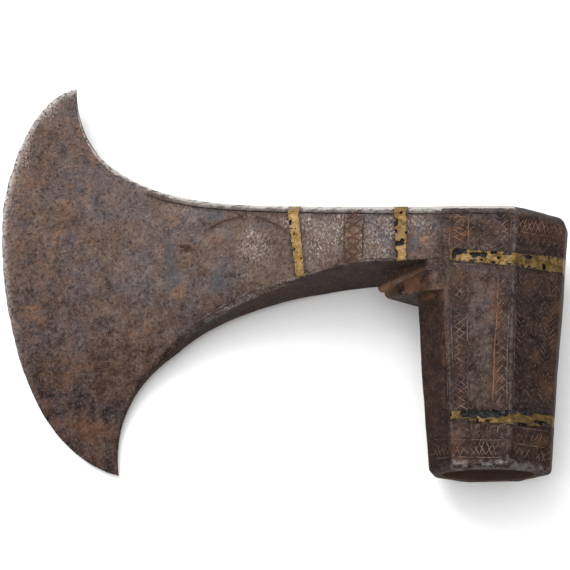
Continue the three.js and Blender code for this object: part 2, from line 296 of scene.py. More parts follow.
# %% Skin the socket
SOCKET_STEP = 1.3
SIDE_POINTS = (4, 11, 18, 14, 3)  # from the blade's side round the front to the poll
CORNER_PULL = 0.4
SOCKET_WEAR, TOP_WEAR = 0.45, 0.3  # how far the corners are rubbed back on each side
ROUND_FROM, FALL_FROM, ROUND_OVER = 12, 16, 9  # where the top's round shoulder starts, and how it grows


def socket_corners(y, inset):
    corner = inset * math.tan(math.pi / 8)
    width = at_height(HALF_WIDTH, y) - inset
    depth = at_height(HALF_DEPTH, y) - inset
    return np.array([
        (-width, at_height(BLADE_SIDE_FACE_HALF, y) - corner),
        (at_height(FRONT_FACE_LEFT, y) + corner, depth),
        (at_height(FRONT_FACE_RIGHT, y) - corner, depth),
        (width, at_height(POLL_FACE_HALF, y) - corner),
    ])


def fill_between(a, b, count):
    steps = (np.arange(count) + 0.5) / count
    return [a + (b - a) * t for t in steps]


def worn_outline(corners, counts, wear):
    """Front half of a ring through the corners, with points along each side between worn corners."""
    ends = [np.array((corners[0][0], -corners[0][1])), *corners, np.array((corners[-1][0], -corners[-1][1]))]
    outline = []
    side = fill_between(corners[0] * (1, 0), corners[0] - (0, wear), counts[0])
    outline += [p for p in side if p[1] > 0]
    for i, corner in enumerate(corners):
        before = ends[i] - corner
        after = ends[i + 2] - corner
        a = corner + before / np.linalg.norm(before) * wear
        b = corner + after / np.linalg.norm(after) * wear
        outline += [a, (a + b) / 2 * (1 - CORNER_PULL) + corner * CORNER_PULL, b]
        if i + 1 < len(corners):
            nearer = corners[i + 1] + (corner - corners[i + 1]) / np.linalg.norm(after) * wear
            outline += fill_between(b, nearer, counts[i + 1])
    outline += fill_between(corners[-1] - (0, wear), corners[-1] * (1, 0), counts[-1])
    return np.array(outline)


def socket_ring(y, inset, top=False, wear=SOCKET_WEAR):
    outline = worn_outline(socket_corners(min(y, SOCKET_HEIGHT), inset), SIDE_POINTS, wear)
    ring = np.column_stack([outline[:, 0], np.full(len(outline), y), outline[:, 1]])
    if top:
        ring[:, 1] -= TOP_FALL_TO_POLL * ring[:, 0]
    return ring


def socket_skin():
    rings = []
    for turn in np.linspace(0, math.pi / 2, 5):
        rolled = MOUTH_RIM_BEVEL * (1 - math.sin(turn)), MOUTH_RIM_BEVEL * (1 - math.cos(turn))
        rings.append(socket_ring(rolled[1], rolled[0]))
    low, high = MOUTH_RIM_BEVEL, SOCKET_HEIGHT - TOP_BEVEL - 0.3
    count = round((high - low) / SOCKET_STEP)
    for i in range(1, count + 1):
        y = low + (high - low) * i / count
        ring = socket_ring(y, 0)
        # The straight rings lean over gradually until they match the falling top.
        ring[:, 1] -= TOP_FALL_TO_POLL * ring[:, 0] * (i / count) ** 3
        far = np.clip((ring[:, 0] - FALL_FROM) / ROUND_OVER, 0, 1)
        ring[:, 1] -= POLL_ROUNDING * far * (i / count) ** 6
        rings.append(ring)
    for share in np.linspace(0.06, 1, 8):
        # A flat bevel at the front, which becomes a round shoulder towards the poll.
        flat = socket_ring(SOCKET_HEIGHT - TOP_BEVEL * (1 - share), TOP_BEVEL * share, True, TOP_WEAR)
        turn = share * math.pi / 2
        round_in, round_below = TOP_ROUND * (1 - math.cos(turn)), TOP_ROUND * (1 - math.sin(turn))
        shoulder = socket_ring(SOCKET_HEIGHT - round_below, round_in, True, TOP_WEAR)
        far = np.clip((flat[:, :1] - ROUND_FROM) / ROUND_OVER, 0, 1)
        ring = flat + (shoulder - flat) * far
        ring[:, 1] -= POLL_ROUNDING * far[:, 0] * (1 - share)
        rings.append(ring)
    return skin("socket", rings)


EYE_HALF_SIDES = 36
EYE_RINGS = 56


def eye_cutter():
    """A tapering oval that runs out past the mouth and the top."""
    rings = []
    angles = math.pi - math.pi * (np.arange(EYE_HALF_SIDES) + 0.5) / EYE_HALF_SIDES
    for y in np.linspace(-3, SOCKET_HEIGHT + 6, EYE_RINGS):
        x = EYE_CENTRE + at_height(EYE_HALF_WIDTH, y) * np.cos(angles)
        rings.append(np.column_stack([x, np.full(len(x), y), at_height(EYE_HALF_DEPTH, y) * np.sin(angles)]))
    return skin("eye", rings)


socket = socket_skin()
print("socket skin:", triangles(socket), "triangles")

# %% [markdown]
# ## The blade and neck
# Seen flat, the blade has four sides: the cutting edge, the top, the underside and the root at the
# socket. A Coons patch blends the four into a grid of points, so every ring bends with the crescent.
# The thickness then follows one rule: the socket's own depth at the shoulder, falling away on a
# curve to the thin edge. Bevels run along both long sides.

# %% Skin the blade and neck
STATIONS = 150
FACE_ROWS = 78


def bezier(curve, steps=160):
    t = np.linspace(0, 1, steps)[:, None]
    p = np.array(curve, float)
    return (1 - t) ** 3 * p[0] + 3 * (1 - t) ** 2 * t * p[1] + 3 * (1 - t) * t ** 2 * p[2] + t ** 3 * p[3]


def long_side(start, curves):
    run = [bezier(curve) for curve in curves]
    if start is not None:
        run.insert(0, np.array([start]))
    return np.concatenate(run)


def walk(path, share):
    """Points at shares of the length of a path."""
    steps = np.linalg.norm(np.diff(path, axis=0), axis=1)
    length = np.concatenate([[0], np.cumsum(steps)])
    at = np.asarray(share) * length[-1]
    return np.stack([np.interp(at, length, path[:, i]) for i in (0, 1)], axis=-1)


cutting_edge = long_side(None, EDGE_CURVES)
top_side = long_side(TOP_SIDE_START, TOP_SIDE_CURVES)
under_side = long_side(UNDER_SIDE_START, UNDER_SIDE_CURVES)


def between(a, b, share):
    a, b = np.asarray(a, float), np.asarray(b, float)
    return a + (b - a) * np.asarray(share)[..., None]


def plan(along, across):
    root = between(UNDER_SIDE_START, TOP_SIDE_START, across)
    edge = walk(cutting_edge, across)
    chord = between(LOWER_HORN_TIP, UPPER_HORN_TIP, across)
    sides = walk(under_side, along) + (walk(top_side, along) - walk(under_side, along)) * across[..., None]
    return root + (edge - root) * along[..., None] + sides - (root + (chord - root) * along[..., None])


def half_thickness(along, y):
    past = along - SHOULDER
    eased = (past + SHOULDER_EASE) ** 2 / (4 * SHOULDER_EASE)
    ramp = np.where(np.abs(past) < SHOULDER_EASE, eased, np.maximum(past, 0))
    left = 1 - ramp / (1 - SHOULDER)
    root = at_height(HALF_DEPTH, y) - NECK_STEP
    return EDGE_HALF_THICKNESS + (root - EDGE_HALF_THICKNESS) * left ** THINNING_POWER


def from_side(points, side):
    """How far points of the plan lie from a long side."""
    steps = np.diff(side, axis=0)
    away = points[:, None] - side[:-1]
    shares = np.clip((away * steps).sum(axis=2) / np.maximum((steps ** 2).sum(axis=1), 1e-9), 0, 1)
    return np.linalg.norm(away - steps * shares[..., None], axis=2).min(axis=1)


def shares_in(along, from_top, reaches):
    """Where a ring crosses lines at the given distances in from its top or its underside."""
    tries = 0.5 * np.linspace(0, 1, 90) ** 1.5
    across = 1 - tries if from_top else tries
    points = plan(np.full(len(tries), along), across)
    gaps = np.maximum.accumulate(from_side(points, top_side if from_top else under_side))
    return np.interp(reaches, gaps, across)


def bevels(along):
    """The thickness under the top of a ring, and the widths of its two bevels and worn corners."""
    thick = float(half_thickness(along, plan(np.array([along]), np.array([1.0]))[0, 1]))
    fade = np.clip((along - UNDER_BEVEL_START) / UNDER_BEVEL_FADE, 0, 1)
    under = min(SLIGHT_BEVEL + (UNDER_BEVEL - SLIGHT_BEVEL) * fade, UNDER_BEVEL_SHARE * thick)
    return thick, min(TOP_BEVEL, TOP_BEVEL_SHARE * thick), under, min(WORN_CORNER, WORN_SHARE * under)


def blade_half_ring(along, depth=0.0, drop=0.0):
    """Front half of one ring of the blade. A depth pushes it in, and a drop runs it on below the neck."""
    thick, top, under, wear = bevels(along)
    # From the underside up: its flat, its bevel, the front face, the top bevel and the flat top.
    low = shares_in(along, False, [0, 0, 0, 0, 0, wear, under - wear, under + wear])
    high = shares_in(along, True, [top + wear, top - wear, wear, 0, 0, 0, 0, 0])
    face = low[-1] + (high[0] - low[-1]) * np.arange(1, FACE_ROWS) / FACE_ROWS
    across = np.concatenate([low, face, high])
    points = plan(np.full(len(across), along), across)
    underside = [thick - (thick - under - wear) * share for share in FLAT_ROWS]
    flat_top = [thick - (thick - top - wear) * share for share in reversed((*FLAT_ROWS, 1.0))]
    pushed = np.zeros(len(across))
    pushed[:8] = [*underside, under + wear, under - wear, wear, 0]
    pushed[-8:] = [0, wear, top - wear, *flat_top]
    z = half_thickness(along, points[:, 1]) - pushed
    z *= 1 - depth / thick
    points[-6:, 1] -= depth
    points[-8:-6, 1] -= depth * math.tan(math.pi / 8)
    points[:8, 1] -= drop
    return np.column_stack([points, np.maximum(z, 0.02)])


def blade_skin(depth=0.0, drop=0.0, stations=STATIONS):
    rings = [blade_half_ring(i / STATIONS, depth, drop) for i in range(stations + 1)]
    return skin("blade", rings)


blade = blade_skin()
print("blade skin:", triangles(blade), "triangles")

# %% [markdown]
# ## The bracket
# Under the root of the neck is a bracket like a ship's bow: two flat faces that meet in a blunt
# point under the middle of the neck, with a raised lip around the top. It braces the neck against
# the socket. It is one more skin, whose rings climb from its sole to the neck.

# %% Skin the bracket
BOW_POINTS = 14
EAR_SHARE = 0.3  # how much of a ring's proud edge is left at the ears, beside the socket


def bracket_ring(tip_height, ear_height, proud, shrink=0.0):
    ear = BRACKET_EAR - proud * EAR_SHARE
    ear_depth = at_height(HALF_DEPTH, ear_height) - 2 * NECK_STEP
    tip = np.array((BRACKET_TIP - proud + shrink, tip_height, BRACKET_BLUNT))
    corner = np.array((ear, ear_height, ear_depth))
    bow = [tip * (1, 1, 0.4)] + [tip + (corner - tip) * t for t in np.linspace(0, 1, BOW_POINTS)]
    inside = np.array((BRACKET_INSIDE, ear_height, ear_depth))
    return np.array(bow + [corner + (inside - corner) * t for t in (0.33, 0.66, 1.0)])


def bracket_skin():
    # Each ring has its height at the tip, its height at the ears, and how far it stands proud.
    rings = [bracket_ring(60.3, 58.3, -0.9), bracket_ring(60.9, 58.9, -0.25), bracket_ring(61.3, 59.3, 0)]
    rings += [bracket_ring(61.3 + 1.0 * t, 59.3 + 5.4 * t, 0) for t in np.linspace(0.15, 1, 6)]
    lip_low, lip_high = (62.4, 64.8), (65.1, 66.2)
    for turn in np.linspace(0, math.pi, 9):
        share = (1 - math.cos(turn)) / 2
        heights = [low + (high - low) * share for low, high in zip(lip_low, lip_high)]
        rings.append(bracket_ring(heights[0], heights[1], 0.4 + (BRACKET_LIP - 0.4) * math.sin(turn) ** 0.6))
    rings += [bracket_ring(65.6, 66.8, 0.5), bracket_ring(67.0, 68.0, 0.6), bracket_ring(69.5, 69.6, 0.6)]
    return skin("bracket", rings)


bracket = bracket_skin()
print("bracket skin:", triangles(bracket), "triangles")

# %% Join the forging and open the eye
head = combine(blade, socket, "UNION")
head = combine(head, bracket, "UNION")
head = combine(head, eye_cutter(), "DIFFERENCE")
print("forging:", triangles(head), "triangles")

# %% [markdown]
# ## Engraving with Geometry Nodes
# The decoration is hundreds of short chiselled strokes in rows, with ruled border lines beside them.
# Strokes that repeat along a line are a job for Geometry Nodes. One tree lays a row of strokes,
# jitters them as a hand would, and leaves a few out. A second, shared tree drops every stroke onto
# the forging with a Raycast and gives it a six-sided body that thins towards its ends. A third does
# the same for ruled lines. The result is a cutter, and a boolean takes it out of the iron, so each
# groove is real.

# %% Helpers for node trees


def add(tree, kind, wires=None, **settings):
    """Adds a node, sets its properties, and fills its inputs with values or with other sockets."""
    made = tree.nodes.new(kind)
    for key, value in settings.items():
        setattr(made, key, value)
    for key, value in (wires or {}).items():
        if isinstance(value, bpy.types.NodeSocket):
            tree.links.new(value, made.inputs[key])
        else:
            made.inputs[key].default_value = value
    return made


def new_tree(name, inputs):
    """A geometry tree with a geometry going in and out, and the named inputs."""
    tree = bpy.data.node_groups.new(name, "GeometryNodeTree")
    tree.interface.new_socket("Geometry", in_out="INPUT", socket_type="NodeSocketGeometry")
    tree.interface.new_socket("Geometry", in_out="OUTPUT", socket_type="NodeSocketGeometry")
    for label, kind in inputs:
        tree.interface.new_socket(label, in_out="INPUT", socket_type="NodeSocket" + kind)
    return tree, tree.nodes.new("NodeGroupInput").outputs, tree.nodes.new("NodeGroupOutput").inputs


def vector(tree, operation, *values):
    return add(tree, "ShaderNodeVectorMath", dict(enumerate(values)), operation=operation).outputs[0]


def number(tree, operation, *values):
    return add(tree, "ShaderNodeMath", dict(enumerate(values)), operation=operation).outputs[0]


def scaled(tree, direction, length):
    wires = {"Vector": direction, "Scale": length}
    return add(tree, "ShaderNodeVectorMath", wires, operation="SCALE").outputs[0]


# %% The tree that presses strokes into a face
WOBBLE_GRAIN = 0.35
RAY_LENGTH = 60.0
STROKE_SIDES = 6
THINNEST_END = 0.25


def build_press_tree():
    """Curves in front of a face become tapering cutters, sunk half their width into it."""
    tree, given, out = new_tree("press strokes", [
        ("Forging", "Object"), ("Into", "Vector"), ("Width", "Float"), ("Taper", "Float"),
        ("Wobble", "Float"), ("Seed", "Float"), ("Finish", "Material")])
    place = add(tree, "GeometryNodeInputPosition").outputs[0]
    wander = add(tree, "ShaderNodeTexNoise", {
        "Vector": place, "W": given["Seed"], "Scale": WOBBLE_GRAIN, "Detail": 2.0}, noise_dimensions="4D")
    shake = vector(tree, "SUBTRACT", wander.outputs["Color"], (0.5, 0.5, 0.5))
    shaken = add(tree, "GeometryNodeSetPosition", {
        "Geometry": given["Geometry"], "Offset": scaled(tree, shake, given["Wobble"])})
    forging = add(tree, "GeometryNodeObjectInfo", {"Object": given["Forging"]})
    ray = add(tree, "GeometryNodeRaycast", {
        "Target Geometry": forging.outputs["Geometry"], "Ray Direction": given["Into"],
        "Ray Length": RAY_LENGTH})
    landed = add(tree, "GeometryNodeSetPosition", {
        "Geometry": shaken.outputs[0], "Selection": ray.outputs["Is Hit"],
        "Position": ray.outputs["Hit Position"]})
    share = add(tree, "GeometryNodeSplineParameter").outputs["Factor"]
    left = number(tree, "SUBTRACT", 1.0, share)
    middle = number(tree, "MULTIPLY", number(tree, "MULTIPLY", share, left), 4.0)
    swell = number(tree, "POWER", middle, given["Taper"])
    radius = number(tree, "MULTIPLY", number(tree, "MAXIMUM", swell, THINNEST_END), given["Width"])
    body = add(tree, "GeometryNodeCurvePrimitiveCircle", {"Resolution": STROKE_SIDES, "Radius": 0.5})
    cutter = add(tree, "GeometryNodeCurveToMesh", {
        "Curve": landed.outputs[0], "Profile Curve": body.outputs[0], "Scale": radius, "Fill Caps": True})
    finished = add(tree, "GeometryNodeSetMaterial", {
        "Geometry": cutter.outputs[0], "Material": given["Finish"]})
    tree.links.new(finished.outputs[0], out["Geometry"])
    return tree


press_tree = build_press_tree()

# %% The tree that lays a row of strokes
STROKE_POINTS = 7
STROKE_LENGTHS = (0.72, 1.12)  # the shortest and the longest, as shares of the given stroke
STROKE_TAPER, STROKE_WOBBLE = 0.5, 0.8
HAND_TURN = 0.13  # how far a stroke may be turned, in radians
SEED_STEP = 17.0


def build_row_tree():
    """Parallel strokes along a line: each crosses it by Across and climbs it by Rise."""
    tree, given, out = new_tree("engraved row", [
        ("Start", "Vector"), ("End", "Vector"), ("Across", "Vector"), ("Stroke Across", "Float"),
        ("Stroke Rise", "Float"), ("Spacing", "Float"), ("Jitter", "Float"), ("Missing", "Float"),
        ("Seed", "Int"), ("Forging", "Object"), ("Into", "Vector"), ("Width", "Float"),
        ("Finish", "Material")])
    line = add(tree, "GeometryNodeCurvePrimitiveLine", {"Start": given["Start"], "End": given["End"]})
    spots = add(tree, "GeometryNodeCurveToPoints", {
        "Curve": line.outputs[0], "Length": given["Spacing"]}, mode="LENGTH")
    along = vector(tree, "NORMALIZE", vector(tree, "SUBTRACT", given["End"], given["Start"]))
    reach = scaled(tree, given["Across"], number(tree, "MULTIPLY", given["Stroke Across"], 0.5))
    climb = scaled(tree, along, number(tree, "MULTIPLY", given["Stroke Rise"], 0.5))
    head_end = vector(tree, "ADD", reach, climb)
    stroke = add(tree, "GeometryNodeCurvePrimitiveLine", {
        "Start": scaled(tree, head_end, -1.0), "End": head_end})
    stroke = add(tree, "GeometryNodeResampleCurve", {"Curve": stroke.outputs[0], "Count": STROKE_POINTS})
    step = scaled(tree, vector(tree, "ADD", along, given["Across"]), given["Jitter"])
    shift = add(tree, "FunctionNodeRandomValue", {
        "Min": scaled(tree, step, -1.0), "Max": step, "Seed": given["Seed"]}, data_type="FLOAT_VECTOR")
    moved = add(tree, "GeometryNodeSetPosition", {
        "Geometry": spots.outputs["Points"], "Offset": shift.outputs[0]})
    other_seed = number(tree, "ADD", given["Seed"], SEED_STEP)
    gone = add(tree, "FunctionNodeRandomValue", {
        "Probability": given["Missing"], "Seed": other_seed}, data_type="BOOLEAN")
    kept = add(tree, "GeometryNodeDeleteGeometry", {
        "Geometry": moved.outputs[0], "Selection": gone.outputs[3]})
    shortest, longest = STROKE_LENGTHS
    length = add(tree, "FunctionNodeRandomValue", {
        "Min": (shortest,) * 3, "Max": (longest,) * 3, "Seed": given["Seed"]}, data_type="FLOAT_VECTOR")
    turn = add(tree, "FunctionNodeRandomValue", {
        2: -HAND_TURN, 3: HAND_TURN, "Seed": other_seed}, data_type="FLOAT")
    laid = add(tree, "GeometryNodeInstanceOnPoints", {
        "Points": kept.outputs[0], "Instance": stroke.outputs[0], "Scale": length.outputs[0],
        "Rotation": scaled(tree, given["Into"], turn.outputs[1])})
    real = add(tree, "GeometryNodeRealizeInstances", {"Geometry": laid.outputs[0]})
    pressed = add(tree, "GeometryNodeGroup", node_tree=press_tree)
    tree.links.new(real.outputs[0], pressed.inputs["Geometry"])
    for key in ("Forging", "Into", "Width", "Finish", "Seed"):
        tree.links.new(given[key], pressed.inputs[key])
    pressed.inputs["Taper"].default_value = STROKE_TAPER
    pressed.inputs["Wobble"].default_value = STROKE_WOBBLE
    tree.links.new(pressed.outputs[0], out["Geometry"])
    return tree


# %% The tree that rules a line
LINE_STEP = 0.9
LINE_TAPER = 0.2


def build_line_tree():
    """Drawn lines, given as edges, become long ruled grooves."""
    tree, given, out = new_tree("engraved line", [
        ("Wobble", "Float"), ("Forging", "Object"), ("Into", "Vector"), ("Width", "Float"),
        ("Seed", "Float"), ("Finish", "Material")])
    path = add(tree, "GeometryNodeMeshToCurve", {"Mesh": given["Geometry"]})
    fine = add(tree, "GeometryNodeResampleCurve", {
        "Curve": path.outputs[0], "Length": LINE_STEP}, mode="LENGTH")
    pressed = add(tree, "GeometryNodeGroup", node_tree=press_tree)
    tree.links.new(fine.outputs[0], pressed.inputs["Geometry"])
    for key in ("Forging", "Into", "Width", "Wobble", "Seed", "Finish"):
        tree.links.new(given[key], pressed.inputs[key])
    pressed.inputs["Taper"].default_value = LINE_TAPER
    tree.links.new(pressed.outputs[0], out["Geometry"])
    return tree


row_tree = build_row_tree()
line_tree = build_line_tree()
print("trees:", [tree.name for tree in bpy.data.node_groups])

# %% [markdown]
# ## The rows of strokes
# Each row is given on one face of the head, as a start and an end: a distance across the face, and a
# height. Crosses are two rows that lean opposite ways, and chevrons are two rows side by side. A
# cutter must not overlap itself, so strokes that lean the same way are cut together, then the others,
# then the border lines.

# %% Name the faces and lay the rows
STROKE_WIDTH = 0.38
HAND_JITTER = 0.28
LIFT = 34  # how far in front of a face its strokes start, before they are pressed in
SLANT = math.sqrt(0.5)
FACES = {
    "front": (Vector((1, 0, 0)), Vector((0, 0, 1))),
    "back": (Vector((1, 0, 0)), Vector((0, 0, -1))),
    "poll chamfer": (Vector((SLANT, 0, -SLANT)), Vector((SLANT, 0, SLANT))),
    "back poll chamfer": (Vector((SLANT, 0, SLANT)), Vector((SLANT, 0, -SLANT))),
    "blade chamfer": (Vector((SLANT, 0, SLANT)), Vector((-SLANT, 0, SLANT))),
}

cutters = {"rising": [], "falling": [], "upright": [], "level": [], "dark": []}
engraved_lines = []
row_seed = [100]


def on_face(face, spot):
    across, outward = FACES[face]
    return across * spot[0] + Vector((0, spot[1], 0)) + outward * LIFT


def set_inputs(modifier, values):
    for item in modifier.node_group.interface.items_tree:
        if item.name in values:
            modifier[item.identifier] = values[item.name]


def press(tree, mesh, values, bundle):
    """Runs a tree on a mesh and keeps the plain result as one cutter."""
    row = bpy.data.objects.new("row", mesh)
    bpy.context.collection.objects.link(row)
    modifier = row.modifiers.new("strokes", "NODES")
    modifier.node_group = tree
    row_seed[0] += 1
    finish = empty_groove if bundle == "dark" else groove_rust
    set_inputs(modifier, {"Forging": head, "Finish": finish, "Seed": row_seed[0], **values})
    cutters[bundle].append(bake(row))


def slants(face, start, end, across, rise, spacing, missing=0.06, jitter=HAND_JITTER, width=STROKE_WIDTH):
    level = abs(end[0] - start[0]) > abs(end[1] - start[1])
    crossing = Vector((0, 1, 0)) if level else FACES[face][0]
    lean = rise if not level else rise * (1 if end[0] > start[0] else -1)
    press(row_tree, bpy.data.meshes.new("row"), {
        "Start": on_face(face, start), "End": on_face(face, end), "Across": crossing,
        "Stroke Across": float(across), "Stroke Rise": float(rise), "Spacing": float(spacing),
        "Jitter": float(jitter), "Missing": float(missing), "Into": -FACES[face][1],
        "Width": float(width)}, "rising" if lean > 0 else "falling")
    engraved_lines.append((on_face(face, start), on_face(face, end), FACES[face][1]))


def crosses(face, start, end, width, climb, spacing, missing=0.06, stroke=STROKE_WIDTH):
    slants(face, start, end, width, climb, spacing, missing, width=stroke)
    slants(face, start, end, width, -climb, spacing, missing, width=stroke)


def chevrons(face, start, end, width, climb, spacing, missing=0.06):
    """A column of V shapes, their points towards the mouth."""
    for side, lean in ((-1, -climb), (1, climb)):
        offset = side * width / 4
        first, last = (start[0] + offset, start[1]), (end[0] + offset, end[1])
        slants(face, first, last, width / 2, lean, spacing, missing)


def ruled(face, spots, width=0.34, wobble=0.35, bundle=None):
    """One border line through the given spots."""
    mesh = bpy.data.meshes.new("line")
    points = [on_face(face, spot) for spot in spots]
    mesh.from_pydata(points, [(i, i + 1) for i in range(len(points) - 1)], [])
    level = abs(spots[-1][0] - spots[0][0]) > abs(spots[-1][1] - spots[0][1])
    press(line_tree, mesh, {"Into": -FACES[face][1], "Width": float(width), "Wobble": float(wobble)},
          bundle or ("level" if level else "upright"))


# %% The front of the socket
# The left column: a lattice of crosses, closer together above the upper band.
crosses("front", (-7.6, 20.0), (-7.6, 65.0), 4.1, 3.4, 2.5)
crosses("front", (-8.0, 72.5), (-8.2, 82.6), 4.2, 2.6, 2.0, 0)
ruled("front", [(-5.3, 19.5), (-5.2, 40), (-5.1, 66)])
ruled("front", [(-5.0, 72.5), (-4.9, 82.8)])
ruled("front", [(-9.9, 20), (-10.4, 42), (-10.9, 66)])
ruled("front", [(-11.2, 72.5), (-11.3, 83)])
# The right column: long strokes branch up from a line that drifts to the left.
slants("front", (4.9, 22.0), (6.0, 63.0), 3.0, 3.6, 3.1, 0)
slants("front", (6.4, 21.0), (7.4, 63.0), 2.6, -3.0, 3.3, 0.1)
ruled("front", [(2.5, 20.5), (3.0, 27), (3.3, 34), (3.7, 41), (4.3, 48), (4.7, 58), (4.9, 64.5)], 0.46)
ruled("front", [(7.1, 20), (7.8, 40), (8.9, 64.5)])
slants("front", (6.6, 72.0), (6.9, 82.4), 3.2, 3.0, 2.2, 0)
slants("front", (7.0, 72.4), (7.2, 78.4), 2.4, -1.8, 1.9, 0.1)
ruled("front", [(8.9, 71), (9.2, 82.4)])
# Feathered strokes between the columns, over the upper band.
chevrons("front", (0.6, 72.0), (0.6, 80.4), 6.6, -2.0, 1.8, 0.12)
slants("front", (-3.9, 72.0), (-3.7, 78.4), 1.5, 1.4, 1.6, 0.2, 0.15)
# The lattice above the mouth, between two level lines, with a few upright ticks over it.
crosses("front", (-10.4, 6.2), (7.2, 5.9), 4.6, 2.4, 1.9, 0.05)
ruled("front", [(-9.8, 9.1), (7.6, 8.6)])
ruled("front", [(-9.9, 3.5), (7.4, 3.0)])
slants("front", (-5.6, 12.6), (5.6, 12.2), 2.7, 0.15, 1.15, 0.3, 0.1)
# Border lines beside the bands, and a deep one below the top's bevel.
ruled("front", [(-10.9, 66.5), (0, 65.6), (10.2, 64.4)])
ruled("front", [(-14.0, 83.3), (-4, 83.2), (10.3, 82.7)], 0.5, 0.2, "dark")
ruled("front", [(-13.6, 82.3), (-9, 82.2), (-5.6, 82.2)], 0.3, 0.2)

# %% The chamfers of the socket
chevrons("poll chamfer", (-1.9, 22.0), (-1.8, 62.5), 4.2, 2.2, 2.1, 0.08)
chevrons("poll chamfer", (8.0, 22.0), (9.9, 62.0), 5.6, 2.8, 2.0, 0.05)
chevrons("poll chamfer", (3.0, 23.0), (3.6, 61.0), 3.0, 1.6, 2.6, 0.35)
ruled("poll chamfer", [(-3.9, 20), (-4.4, 64)])
crosses("poll chamfer", (-3.6, 79.4), (13.0, 79.8), 4.2, 2.2, 1.75, 0)
ruled("poll chamfer", [(-4.2, 76.9), (4, 76.9), (13.4, 77.4)], 0.46)
slants("poll chamfer", (-3.0, 74.2), (12.5, 74.6), 3.0, 1.3, 2.1, 0.3)
ruled("poll chamfer", [(-2.6, 7.8), (9.4, 7.8)])
crosses("poll chamfer", (-2.0, 4.9), (9.0, 4.9), 3.8, 2.2, 1.9, 0.05)
slants("poll chamfer", (-2.0, 10.4), (9.6, 10.4), 2.4, 1.2, 1.9, 0.4)
ruled("poll chamfer", [(-3.0, 13.2), (10.4, 13.2)])
ruled("blade chamfer", [(-6.2, 12.0), (1.9, 11.0)])
ruled("blade chamfer", [(-6.2, 10.5), (1.9, 9.5)])
crosses("blade chamfer", (-5.8, 6.8), (1.4, 6.6), 3.8, 2.0, 1.8, 0.05)
ruled("blade chamfer", [(-6.0, 4.2), (1.6, 3.8)])
ruled("blade chamfer", [(2.2, 10), (2.4, 20), (2.7, 44), (3.1, 57)], 0.44)

# %% The neck and the blade
crosses("front", (-43.0, 70.2), (-43.0, 84.6), 5.4, 3.9, 2.9, 0, 0.5)
ruled("front", [(-40.0, 69.2), (-39.8, 85.0)], 0.42)
ruled("front", [(-46.1, 69.0), (-46.2, 85.2)])


def beside_edge(from_top, margin, first, last, count=26):
    """Spots along the neck, a margin in from the bevel of its top or its underside."""
    spots = []
    for along in np.linspace(first, last, count):
        _, top, under, _ = bevels(along)
        share = shares_in(along, from_top, (top if from_top else under) + margin)
        spots.append(tuple(plan(np.array([along]), np.array([share]))[0]))
    return spots


ruled("front", beside_edge(True, 0.5, 0.08, 0.66), 0.5, 0.15, "dark")
ruled("front", beside_edge(False, -0.1, 0.44, 0.62), 0.36, 0.1)
ruled("front", beside_edge(False, -1.0, 0.24, 0.43), 0.36, 0.1)
ruled("front", [(-37.5, 69.2), (-29.2, 68.9)], 0.36)
# A long shallow arc and a chisel slip on the root of the blade.
ruled("front", [(-94.1, 83.7), (-91.3, 85.3), (-88.5, 86.3), (-84.5, 86.9), (-82.6, 87.3)],
      0.36, 0.2, "upright")
ruled("front", [(-77.2, 86.3), (-74.9, 85.5), (-72.0, 84.0), (-69.2, 82.2), (-67.1, 80.6)],
      0.36, 0.2, "upright")
slants("front", (-101.4, 77.4), (-101.4, 79.0), 3.4, -2.4, 9, 0, 0, 1.0)
slants("front", (-102.0, 76.8), (-102.0, 77.3), 3.8, -0.2, 9, 0, 0, 0.8)

# %% The plainer back
crosses("back", (-7.6, 21.0), (-7.6, 64.0), 3.7, 3.3, 3.3)
ruled("back", [(-5.3, 19.5), (-5.1, 65)])
ruled("back", [(-9.9, 20), (-10.8, 65)])
ruled("back", [(7.0, 20), (8.7, 64.5)])
crosses("back", (-10.2, 6.2), (7.2, 5.9), 4.6, 2.4, 2.4, 0.05)
ruled("back", [(-9.8, 9.1), (7.6, 8.6)])
ruled("back", [(-9.9, 3.5), (7.4, 3.0)])
chevrons("back poll chamfer", (8.6, 24.0), (9.6, 60.0), 4.8, 2.6, 2.8, 0.1)
ruled("back", beside_edge(True, 0.5, 0.1, 0.6), 0.5, 0.15, "dark")
print("cutters:", {name: len(rows) for name, rows in cutters.items()})


# %% Cut the strokes
def joined(pieces, name, pieces_finish):
    mesh = bmesh.new()
    for piece in pieces:
        mesh.from_mesh(piece.data)
        discard(piece)
    made = bpy.data.meshes.new(name)
    mesh.to_mesh(made)
    mesh.free()
    made.materials.append(pieces_finish)
    face_out(made)
    return bpy.data.objects.new(name, made)


forging = head.copy()
forging.data = head.data.copy()
stroke_trees = []
for name, rows in cutters.items():
    cutter = joined(rows, name + " strokes", empty_groove if name == "dark" else groove_rust)
    stroke_trees.append(BVHTree.FromPolygons([v.co for v in cutter.data.vertices],
                                             [tuple(p.vertices) for p in cutter.data.polygons]))
    head = combine(head, cutter, "DIFFERENCE")
    print(name, "strokes cut, and the forging has", triangles(head), "triangles")

# %% [markdown]
# ## The brass bands
# The bands are strips of brass hammered into undercut grooves. Two cross the neck and its top edge,
# and two wrap the socket from the front round the poll to the back. A band is what is left of the
# forging inside the strip's outline, once a core a little smaller than the forging is taken away. The
# groove is cut with the same outline grown a little, and the band is made with it shrunk a little, so
# the two fit with a thin dark seam between them.

